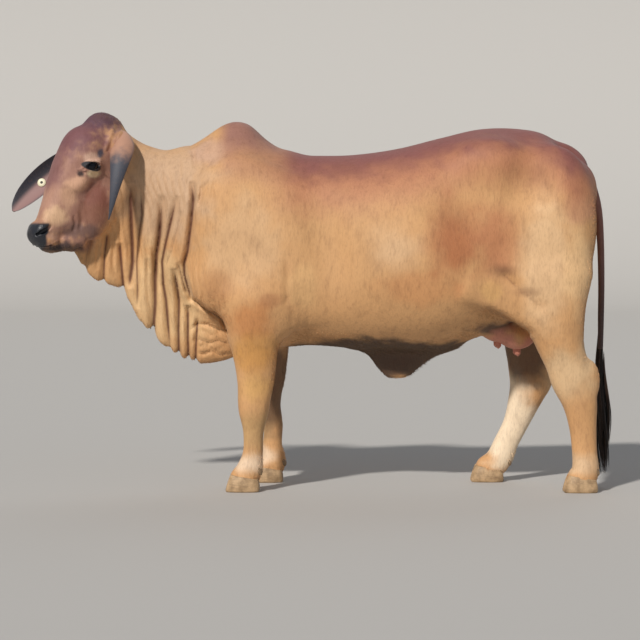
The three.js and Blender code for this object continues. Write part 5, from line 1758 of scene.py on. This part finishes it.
def tube(
    line: Sequence[Point], radii: Sequence[float], sides: int = 20, steps: int = 60
) -> tuple[np.ndarray, list]:
    """A closed tube along a smooth line; radii are read off at even shares of it."""
    index = np.arange(len(line), dtype=float)
    at = np.linspace(0, len(line) - 1, steps)
    middle = np.stack([through(index, [p[k] for p in line], at) for k in range(3)], axis=1)
    radius = through(np.linspace(0, 1, len(radii)), radii, np.linspace(0, 1, steps))
    along = np.gradient(middle, axis=0)
    along /= np.linalg.norm(along, axis=1, keepdims=True)
    sideways = np.cross(along, [0.2, 0.97, 0.1])
    sideways /= np.linalg.norm(sideways, axis=1, keepdims=True)
    third = np.cross(along, sideways)
    angle = np.linspace(0, 2 * math.pi, sides, endpoint=False)
    turn = np.cos(angle)[None, :, None] * sideways[:, None] + np.sin(angle)[None, :, None] * third[:, None]
    return loft(middle[:, None] + radius[:, None, None] * turn)


TAIL_LINE = [
    (996, 0, 1268), (1034, 0, 1226), (1066, 0, 1160), (1088, 0, 1080), (1099, 0, 960), (1103, 0, 800),
    (1102, 0, 660), (1101, 0, 540),
]


@dataclass
class Tail:
    """The tail's dock, under its short hair."""

    radii: tuple[float, ...] = (32, 27, 21, 17, 14, 12.5, 12, 10)

    def build(self) -> bpy.types.Object:
        """A tapering tube."""
        points, faces = tube(TAIL_LINE, self.radii, 24, 90)
        mesh = outward(mesh_of("tail", points, faces))
        dark = step(1150, 620, points[:, 2])[:, None]
        paint(mesh, (1 - dark) * rgb("94665a") + dark * rgb("4a3a38"))
        return piece("tail_dock", mesh, ShortCoat(), ("tail",))


BAKE_PATCH = 0.003  # side of a lock's patch on the map that colours are baked to
THIRDS = np.array([0, 2.094, 4.189])  # a turn in three


def bake_map(mesh: bpy.types.Mesh, places: np.ndarray) -> None:
    """Stores the place of each vertex on the map that colours are baked to."""
    corners = np.empty(len(mesh.loops), np.int32)
    mesh.loops.foreach_get("vertex_index", corners)
    mesh.uv_layers.new(name="OFBake").uv.foreach_set("vector", places[corners].astype(np.float32).ravel())


@dataclass
class Switch:
    """The tuft of long dark hair at the end of the tail.

    Attributes:
        clumps: How many locks it has.
        strands: How many strands each lock has.
        rings: Cross-sections of a strand.
        middle: Its place along the animal.
        tones: Colours of its strands.
    """

    clumps: int = 26
    strands: int = 22
    rings: int = 16
    middle: float = 1102.0
    tones: tuple[str, ...] = ("1f1916", "33271f", "4a382d", "171310")

    def build(self) -> bpy.types.Object:
        """Tapering strands, in waving locks that hang from the end of the dock."""
        rng = np.random.default_rng(11)
        points, faces, tones, places = [], [], [], []
        heights = [30, 60, 130, 200, 300, 380, 460, 540, 600, 660]
        bulk = [4, 9, 17, 25, 29, 24, 17, 13, 12, 9]
        for clump in range(self.clumps):
            turn, out = rng.uniform(0, 2 * math.pi), math.sqrt(rng.uniform(0.1, 1))
            top = 640 - 300 * (clump / self.clumps) ** 0.9
            tip = rng.uniform(50, 210) if rng.random() < 0.7 else rng.uniform(36, 70)
            swing, beat, start = rng.uniform(5, 15), rng.uniform(60, 110), rng.uniform(0, 6)
            for _ in range(self.strands):
                z = np.linspace(top + rng.uniform(-20, 20), tip + rng.exponential(28), self.rings)
                loose = np.clip((top - z) / 260, 0, 1)
                reach = np.interp(z, heights, bulk) * out
                x = self.middle + np.interp(z, [40, 200, 320], [14, 3, 0]) + np.cos(turn) * reach
                x += loose * swing * np.sin(z / beat + start) + rng.normal(0, 2.6) * (0.4 + loose)
                y = (
                    np.sin(turn) * reach
                    + loose * swing * np.cos(z / beat + start)
                    + rng.normal(0, 2.6) * (0.4 + loose)
                )
                wide = rng.uniform(0.9, 1.9) * np.sin(np.linspace(0.5, math.pi - 0.02, self.rings)) ** 0.7
                angle = rng.uniform(0, 2 * math.pi) + THIRDS
                ring = np.stack([np.cos(angle), np.sin(angle), 0 * angle], axis=1)
                lock, sides = loft(np.stack([x, y, z], axis=1)[:, None] + wide[:, None, None] * ring[None])
                faces += renumbered(sides, len(lock) * len(points))
                points.append(lock)
                root = [0.02 + 0.95 * turn / (2 * math.pi), 0.02 + 0.95 * z[0] / 700]
                index = np.arange(len(lock))
                places.append(root + BAKE_PATCH * np.stack([index % 3 / 3, index / len(lock)], axis=1))
                tones.append(np.tile(rgb(self.tones[rng.integers(4)]), (len(lock), 1)))
        mesh = outward(mesh_of("switch", np.concatenate(points), faces))
        paint(mesh, np.concatenate(tones))
        bake_map(mesh, np.concatenate(places))
        return piece("tail_switch_hair", mesh, LongHair(), ("tail_switch",))


@dataclass
class Teats:
    """The four teats."""

    places: tuple = ((772, 552, 38), (696, 580, 36))

    def build(self) -> bpy.types.Object:
        """Rounded cylinders that widen into the udder."""
        points, faces = [], []
        for x, top, length in self.places:
            for s in (-1, 1):
                tip = top - length
                line = [
                    (x, s * 42, top + 26), (x, s * 43, top), (x, s * 45, top - length * 0.6),
                    (x, s * 46, tip),
                ]
                lock, sides = tube(line, (20, 15, 12, 11.5, 10, 2), 20, 30)
                faces += renumbered(sides, len(lock) * len(points))
                points.append(lock)
        mesh = outward(mesh_of("teats", np.concatenate(points), faces))
        paint(mesh, np.tile(rgb("c9826c"), (len(mesh.vertices), 1)))
        return piece("udder_teats", mesh, ShortCoat())


@dataclass
class Dewclaw:
    """A small horn behind the fetlock.

    Attributes:
        node: The CAD node it stands for.
        place: Its root.
    """

    node: str
    place: Point

    def build(self) -> bpy.types.Object:
        """A short blunt cone that points down and back."""
        x, y, z = self.place
        line = [(x - 22, y, z + 12), (x - 9, y, z + 4), (x - 2, y, z - 6), (x + 2, y, z - 15)]
        points, faces = tube(line, (11, 11.5, 11, 9, 3), 18, 20)
        mesh = outward(mesh_of(self.node, points, faces))
        return piece(f"{self.node}_horn", mesh, HoofHorn("9c8060", "6f5a43"), (self.node,))


@dataclass
class EarTag:
    """The round tag through the right ear.

    Attributes:
        share: Its place along the ear.
        across: Its place across the ear.
        radius: Radius of its button.
        front: Depth of the ear's inner face there, from the blade's outer face.
        back: Depth of its outer face there.
    """

    share: float = 0.645
    across: float = -0.1
    radius: float = 17.0
    front: float = 9.5
    back: float = -0.5

    def inward(self) -> np.ndarray:
        """The way that the ear's inner face looks at the pin."""
        return np.array([np.interp(self.share, RIGHT_EAR.share, RIGHT_EAR.inward[:, k]) for k in range(3)])

    def pin(self, depth: float) -> np.ndarray:
        """The pin's place at a depth in the ear."""
        return RIGHT_EAR.point(self.share, np.array([self.across]), np.array([depth]))[0]

    def button(self, node: str, radius: float, inner: bool) -> bpy.types.Object:
        """One button of the tag, turned round its pin."""
        out = self.inward() if inner else -self.inward()
        at = self.pin(self.front if inner else self.back)
        profile = [(radius, 0), (radius, 2.2), (radius - 1.2, 3.6), (6.5, 4.4), (5.5, 4.2), (5.2, 2.6)]
        turn = Vector((0, 0, 1)).rotation_difference(Vector(out)).to_matrix()
        angle = np.linspace(0, 2 * math.pi, 40, endpoint=False)
        rings = []
        for r, h in profile:
            ring = np.stack([r * np.cos(angle), r * np.sin(angle), 0 * angle + h], axis=1)
            rings.append(ring @ np.array(turn).T + at)
        points, faces = loft(np.array(rings))
        mesh = outward(mesh_of(node, points, faces))
        return piece(f"{node}_shell", mesh, Plain("TagShell", "eee8c8", 0.4), (node,))

    def build(self) -> None:
        """Both buttons."""
        self.button("ear_tag_front", self.radius, True)
        self.button("ear_tag_back", self.radius * 0.75, False)
        self.stud()

    def stud(self) -> None:
        """The dark head of the pin, in the middle of the front button."""
        at, inward = self.pin(self.front), self.inward()
        points, faces = tube([at + inward * h for h in (1.5, 3.0, 4.6)], (5.6, 5.4, 4.6), 24, 12)
        piece("ear_tag_stud", outward(mesh_of("stud", points, faces)), Plain("TagStud", "3a3a36", 0.5))


# Hair that stands off the skin


class TuftTree:
    """Geometry nodes that set locks on a skin where its `tuft` attribute says so."""

    def __init__(self) -> None:
        """Builds the tree."""
        self.tree = bpy.data.node_groups.new("tufts", "GeometryNodeTree")
        kinds = {
            "Geometry": "Geometry",
            "Lock": "Object",
            "Density": "Float",
            "Seed": "Int",
            "Material": "Material",
        }
        self.sockets = {
            name: self.tree.interface.new_socket(
                name=name, in_out="INPUT", socket_type=f"NodeSocket{kind}"
            ).identifier
            for name, kind in kinds.items()
        }
        self.tree.interface.new_socket(name="Geometry", in_out="OUTPUT", socket_type="NodeSocketGeometry")
        start = self.tree.nodes.new("NodeGroupInput").outputs
        density = self.add(
            "ShaderNodeMath", {"operation": "MULTIPLY"}, [self.read("tuft", "FLOAT"), start["Density"]]
        )
        points = self.add(
            "GeometryNodeDistributePointsOnFaces",
            {},
            {"Mesh": start["Geometry"], "Density": density, "Seed": start["Seed"]},
        )
        turn = self.add(
            "FunctionNodeAlignRotationToVector", {"axis": "Z"}, {"Vector": self.read("lie", "FLOAT_VECTOR")}
        )
        settings = {"axis": "Y", "pivot_axis": "Z"}
        turn = self.add(
            "FunctionNodeAlignRotationToVector",
            settings,
            {"Rotation": turn, "Vector": self.read("rise", "FLOAT_VECTOR")},
        )
        chance = self.add(
            "FunctionNodeRandomValue",
            {"data_type": "FLOAT"},
            {"Min": 0.6, "Max": 1.25, "Seed": start["Seed"]},
        )
        long = self.add("ShaderNodeMath", {"operation": "MULTIPLY"}, [self.read("long", "FLOAT"), chance])
        size = self.add("ShaderNodeCombineXYZ", {}, {"X": chance, "Y": chance, "Z": long})
        lock = self.add("GeometryNodeObjectInfo", {}, {"Object": start["Lock"]}, "Geometry")
        links = {"Points": points, "Instance": lock, "Rotation": turn, "Scale": size}
        locks = self.add("GeometryNodeInstanceOnPoints", {}, links)
        locks = self.add("GeometryNodeRealizeInstances", {}, {"Geometry": locks})
        small = self.add(
            "ShaderNodeVectorMath",
            {"operation": "SCALE"},
            {"Vector": self.read("spot", "FLOAT_VECTOR"), "Scale": BAKE_PATCH},
        )
        place = self.add(
            "ShaderNodeVectorMath", {"operation": "ADD"}, [self.read("root", "FLOAT_VECTOR"), small]
        )
        settings = {"data_type": "FLOAT2", "domain": "CORNER"}
        locks = self.add(
            "GeometryNodeStoreNamedAttribute",
            settings,
            {"Geometry": locks, "Name": "OFBake", "Value": place},
        )
        locks = self.add("GeometryNodeSetMaterial", {}, {"Geometry": locks, "Material": start["Material"]})
        self.tree.links.new(locks, self.tree.nodes.new("NodeGroupOutput").inputs["Geometry"])

    def add(
        self, kind: str, settings: dict, links: dict | list, output: str | None = None
    ) -> bpy.types.NodeSocket:
        """Adds a node.

        Args:
            kind: Its type.
            settings: Its properties by name.
            links: Its inputs by name or in order, as values or sockets.
            output: Name of the output wanted, the first one if none is given.

        Returns:
            The output.
        """
        node = self.tree.nodes.new(kind)
        for key, value in settings.items():
            setattr(node, key, value)
        shown = [socket for socket in node.inputs if socket.enabled]
        if isinstance(links, list):
            pairs = list(zip(shown, links))
        else:
            pairs = [(next(t for t in shown if t.name == k), v) for k, v in links.items()]
        for socket, value in pairs:
            if isinstance(value, bpy.types.NodeSocket):
                self.tree.links.new(value, socket)
            else:
                socket.default_value = value
        found = [socket for socket in node.outputs if socket.enabled]
        return next(t for t in found if t.name == output) if output else found[0]

    def read(self, name: str, kind: str) -> bpy.types.NodeSocket:
        """An attribute of the geometry."""
        return self.add("GeometryNodeInputNamedAttribute", {"data_type": kind}, {"Name": name}, "Attribute")


def set_vectors(mesh: bpy.types.Mesh, name: str, rows: np.ndarray) -> None:
    """Stores a vector for each vertex."""
    data = mesh.attributes.new(name, "FLOAT_VECTOR", "POINT").data
    data.foreach_set("vector", rows.astype(np.float32).ravel())


def lock_object() -> bpy.types.Object:
    """A thin bent lock, one unit long along Z, that stands 1.3 mm wide at its root."""
    rings = []
    for t in (0.0, 0.35, 0.7, 0.98):
        wide = 0.65 * (1 - t) ** 0.7 + 0.04
        across, deep = np.cos(THIRDS) * wide * 1.6, np.sin(THIRDS) * wide * 0.7
        rings.append(np.stack([across, deep, 0 * THIRDS + t / MM], axis=1))
    points, faces = loft(np.array(rings))
    mesh = bpy.data.meshes.new("lock")
    mesh.from_pydata((points * MM).tolist(), [], faces)
    outward(mesh)
    spot = np.stack([points[:, 0] / 3, points[:, 2] * MM - 0.5, 0 * points[:, 0]], axis=1)
    set_vectors(mesh, "spot", spot)
    return bpy.data.objects.new("lock", mesh)


@dataclass(frozen=True)
class Fringe:
    """A stretch of skin whose hair stands off it.

    Attributes:
        low: Its lowest corner.
        high: Its highest corner.
        facing: The way that its skin looks.
        least: The least of that way that is asked of the skin, from -1 to 1.
        length: Length of the hair, in millimetres.
        lie: The way that the hair points.
        lift: How far it stands up.
    """

    low: Point
    high: Point
    facing: Point
    least: float
    length: float
    lie: Point
    lift: float

    def weight(self, points: np.ndarray, normals: np.ndarray) -> np.ndarray:
        """How much of the hair grows at points."""
        low, high = np.asarray(self.low, float), np.asarray(self.high, float)
        soft = np.minimum((high - low) / 3, 70)
        inside = (step(0, 1, (points - low) / soft) * step(0, 1, (high - points) / soft)).prod(axis=1)
        if any(self.facing):
            inside *= step(self.least, self.least + 0.35, normals @ np.asarray(self.facing, float))
        return inside


@dataclass
class Tufts:
    """Locks grown on one mesh.

    Attributes:
        name: Name of the piece.
        density: Locks to a square metre where they stand closest.
        seed: Number that scatters them.
    """

    name: str
    density: float
    seed: int

    def grow(
        self, skin: bpy.types.Mesh, weight: np.ndarray, long: np.ndarray, lie: np.ndarray, finish: Finish
    ) -> None:
        """Grows the locks.

        Args:
            skin: The mesh that they grow on, in place.
            weight: Share of the density at each of its vertices.
            long: Length of the locks there, in millimetres.
            lie: The way that they point there.
            finish: Their finish.
        """
        mesh = skin.copy()
        mesh.materials.clear()
        count = len(mesh.vertices)
        normals, places = np.empty(3 * count, np.float32), np.empty(3 * count, np.float32)
        mesh.vertices.foreach_get("normal", normals)
        mesh.vertices.foreach_get("co", places)
        normals, places = normals.reshape(-1, 3), places.reshape(-1, 3)
        low, high = places.min(0), places.max(0)
        share = 0.03 + 0.94 * (places - low) / (high - low)
        looks = np.abs(normals).argmax(axis=1)
        sign = normals[np.arange(count), looks] > 0
        across = np.where(looks == 0, share[:, 1], share[:, 0])
        along = np.where(looks == 2, share[:, 1], share[:, 2])
        root = np.stack([(looks + across) / 3, (sign + along) / 2, 0 * across], axis=1)
        set_mask(mesh, "tuft", weight)
        mesh.attributes.new("long", "FLOAT", "POINT").data.foreach_set(
            "value", (long * MM).astype(np.float32)
        )
        for name, rows in (("lie", lie), ("rise", normals), ("root", root)):
            set_vectors(mesh, name, rows)
        obj = bpy.data.objects.new(self.name, mesh)
        bpy.context.collection.objects.link(obj)
        tree = TuftTree()
        modifier = obj.modifiers.new("tufts", "NODES")
        modifier.node_group = tree.tree
        values = {
            "Lock": lock_object(), "Density": self.density, "Seed": self.seed, "Material": finish.build()
        }
        for key, value in values.items():
            modifier[tree.sockets[key]] = value
        graph = bpy.context.evaluated_depsgraph_get()
        made = bpy.data.meshes.new_from_object(obj.evaluated_get(graph))
        obj.modifiers.remove(modifier)
        bpy.data.objects.remove(obj)
        for slot in reversed(range(len(made.materials))):
            if made.materials[slot] is None:
                made.materials.pop(index=slot)
        for name in ("tuft", "long", "lie", "rise", "root", "spot", "slate", "fold", "muzzle"):
            if name in made.attributes:
                made.attributes.remove(made.attributes[name])
        made.name = self.name
        piece(self.name, made, finish)


def both_sides(fringe: Fringe) -> list[Fringe]:
    """A fringe of the left side and its mirror image."""
    flip = np.array([1, -1, 1])
    low, high = np.array(fringe.low) * flip, np.array(fringe.high) * flip
    low, high = np.minimum(low, high), np.maximum(low, high)
    mirrored = replace(fringe, low=low, high=high, facing=fringe.facing * flip, lie=fringe.lie * flip)
    return [fringe, mirrored]


TUFT_DENSITY = 26000  # locks to a square metre
FRINGES = {
    "belly_tufts": [
        Fringe((-150, -210, 380), (640, 210, 670), (0, 0, -1), 0.3, 13, (0.8, 0, -0.6), 0.2),
        *both_sides(
            Fringe((560, -300, 560), (860, -120, 760), (0, -0.4, -0.92), 0.5, 11, (0.7, 0, -0.7), 0.15)
        ),
    ],
    "brisket_tufts": [
        Fringe((-970, -150, 430), (-320, 120, 900), (-0.4, 0, -0.9), 0.45, 11, (0.5, 0, -0.85), 0.14),
        *both_sides(
            Fringe((-520, -330, 590), (-330, -90, 790), (-0.6, -0.4, -0.6), 0.1, 16, (0.5, -0.3, -0.8), 0.35)
        ),
    ],
    "foreleg_tufts": [
        Fringe((-260, -270, 350), (-60, 250, 680), (1, 0, 0), 0.55, 13, (0.3, 0, -0.95), 0.22),
        Fringe((-330, -260, 66), (-110, 240, 150), (1, 0, 0), 0.3, 18, (0.5, 0, -0.85), 0.35),
        Fringe((-390, -260, 40), (-110, 240, 74), (0, 0, 0), 0, 11, (0, 0, -1), 0.2),
    ],
    "hindleg_tufts": [
        Fringe((840, -270, 360), (1100, 260, 560), (1, 0, 0), 0.5, 12, (0.2, 0, -0.95), 0.16),
        Fringe((900, -320, 540), (1120, 320, 1180), (1, 0, 0), 0.6, 10, (0.1, 0, -1), 0.1),
        Fringe((660, -270, 66), (1080, 260, 150), (1, 0, 0), 0.3, 18, (0.5, 0, -0.85), 0.35),
        Fringe((580, -270, 40), (1100, 260, 74), (0, 0, 0), 0, 11, (0, 0, -1), 0.2),
    ],
    "head_tufts": [
        Fringe((-920, -200, 1400), (-710, 90, 1520), (0, 0, 1), 0.3, 7, (-0.6, -0.3, 0.4), 0.14),
        Fringe((-1080, -240, 900), (-880, -60, 960), (0, 0, -1), 0.2, 9, (0.4, 0, -0.9), 0.22),
    ],
}


def grow_fringes(skin: bpy.types.Mesh, points: np.ndarray) -> None:
    """Grows the hair that stands off the skin.

    Args:
        skin: The skin's mesh.
        points: Its vertices, in the animal's millimetres.
    """
    normals = np.empty(3 * len(points), np.float32)
    skin.vertices.foreach_get("normal", normals)
    normals = normals.reshape(-1, 3).astype(float)
    for seed, (name, fringes) in enumerate(FRINGES.items()):
        weight, long = np.zeros(len(points)), np.full(len(points), 10.0)
        lie = np.tile([0.0, 0.0, -1.0], (len(points), 1))
        for fringe in fringes:
            grown = fringe.weight(points, normals)
            more = grown > weight
            weight[more] = grown[more]
            long[more] = fringe.length * (0.55 + 0.45 * grown[more])
            way = np.asarray(fringe.lie, float)
            flat = way - normals * (normals @ way)[:, None]
            length = np.maximum(np.linalg.norm(flat, axis=1), 0.2)[:, None]
            lie[more] = (flat / length + fringe.lift * normals)[more]
        Tufts(name, TUFT_DENSITY, seed + 1).grow(skin, weight, long, lie, TuftHair())


@dataclass
class Lashes:
    """The lashes of both upper lids.

    Attributes:
        count: How many each eye has.
        length: Length of the longest, in millimetres.
    """

    count: int = 26
    length: float = 13.0

    def build(self) -> bpy.types.Object:
        """Curved hairs set along the lids."""
        points, faces = [], []
        for s in (-1, 1):
            for t in np.linspace(-0.8, 0.9, self.count):
                u, v = 34 * t, 15.5 * math.sqrt(1 - t * t)
                x = u * math.cos(LID_SLANT) + v * math.sin(LID_SLANT)
                z = v * math.cos(LID_SLANT) - u * math.sin(LID_SLANT)
                start = np.array([EYE_CENTRE[0] - 6 + x, s * (EYE_CENTRE[1] + 27), EYE_CENTRE[2] - 1 + z])
                long = self.length * (1 - 0.5 * t * t)
                line = [
                    start + [0.2 * x / 34 * h, s * h, -0.1 * h + 0.035 * h * h]
                    for h in np.linspace(-3, long, 4)
                ]
                hair, sides = tube(head_to_world(np.array(line)).tolist(), (0.5, 0.45, 0.3, 0.1), 4, 7)
                faces += renumbered(sides, len(hair) * len(points))
                points.append(hair)
        mesh = outward(mesh_of("lashes", np.concatenate(points), faces))
        return piece("eye_lashes", mesh, Plain("LashHair", "16110f", 0.5))


# The room


@dataclass
class Studio:
    """A plain floor, soft lights and the photograph's point of view.

    Attributes:
        away: Distance of the camera from the animal's middle plane, in metres.
        height: Its height.
        lens: Its focal length in pixels of a 640-pixel frame.
        horizon: Row of the horizon in that frame.
    """

    away: float = 8.3
    height: float = 0.968
    lens: float = 2117.0
    horizon: float = 240.0

    def floor(self) -> None:
        """A pale floor that curves up, far behind, into a pale wall."""
        bend = [(20 + 8 * math.sin(t), 8 - 8 * math.cos(t)) for t in np.linspace(0, math.pi / 2, 24)]
        line = [(-40.0, 0.0), *bend, (28.0, 14.0)]
        points = [(x, y, z) for y, z in line for x in (-60, 60)]
        mesh = bpy.data.meshes.new("floor")
        mesh.from_pydata(points, [], [(2 * k, 2 * k + 1, 2 * k + 3, 2 * k + 2) for k in range(len(line) - 1)])
        mesh.shade_smooth()
        obj = bpy.data.objects.new("floor", mesh)
        bpy.context.collection.objects.link(obj)
        mesh.materials.append(Plain("PaleFloor", "bbb9b5", 0.9).build())
        obj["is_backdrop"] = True

    def light(self, name: str, place: Point, spread: float, power: float, colour: str = "ffffff") -> None:
        """One soft light, far off towards `place`, that looks `spread` degrees wide."""
        data = bpy.data.lights.new(name, "SUN")
        data.angle, data.energy, data.color = math.radians(spread), power, hex_colour(colour)[:3]
        obj = bpy.data.objects.new(name, data)
        obj.location = place
        obj.rotation_euler = (-Vector(place)).to_track_quat("-Z", "Y").to_euler()
        bpy.context.collection.objects.link(obj)

    def build(self) -> None:
        """Sets the room."""
        self.floor()
        self.light("key", (-2.7, -5.0, 4.3), 4, 3.1, "fffaf4")
        self.light("fill", (5.0, -6.0, 3.0), 60, 0.12, "e6efff")
        self.light("rim", (1.5, 5.0, 5.0), 40, 0.35)
        world = bpy.data.worlds.new("studio")
        world.use_nodes = True
        background = world.node_tree.nodes["Background"]
        background.inputs["Color"].default_value = hex_colour("dfe6f2")
        background.inputs["Strength"].default_value = 0.24
        bpy.context.scene.world = world
        bpy.context.scene.view_settings.view_transform = "Standard"
        data = bpy.data.cameras.new("camera")
        data.sensor_width, data.lens = 36, self.lens / 640 * 36
        camera = bpy.data.objects.new("camera", data)
        camera.location = (SHIFT[0], SHIFT[1] - self.away, self.height)
        camera.rotation_euler = (math.pi / 2 - math.atan((320 - self.horizon) / self.lens), 0, 0)
        bpy.context.collection.objects.link(camera)
        bpy.context.scene.camera = camera


FEET = {
    "left_fore": (-290, -168, -274),
    "right_fore": (-205, 160, -187),
    "left_hind": (1008, -190, 1020),
    "right_hind": (678, 175, 714),
}


def write_size(sizes: list) -> None:
    """Keeps the lowest and highest corners of the shown model."""
    low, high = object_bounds()
    sizes.append([list(low), list(high)])


def main() -> None:
    """Dresses the frame and sets the room."""
    logging.basicConfig(level=logging.INFO, format="%(message)s")
    sizes: list = []
    write_size(sizes)
    skin = Skin(Anatomy())
    shown = skin.build()
    grow_fringes(shown.data, skin.read(shown.data))
    Lashes().build()
    for side in Side:
        Eye(side).build()
    Ear("left_ear", LEFT_EAR).build()
    Ear("right_ear", RIGHT_EAR).build()
    EarTag().build()
    Tail().build()
    Switch().build()
    Teats().build()
    for leg, (x, y, fetlock) in FEET.items():
        for s, name in ((-1, "left"), (1, "right")):
            Dewclaw(f"{leg}_dewclaw_{name}", (fetlock + 46, y + s * 20, 80)).build()
        Claw(f"{leg}_claw_left", x, y, -1).build()
        Claw(f"{leg}_claw_right", x, y, 1).build()
    Studio().build()
    write_size(sizes)


if __name__ == "__main__":
    main()
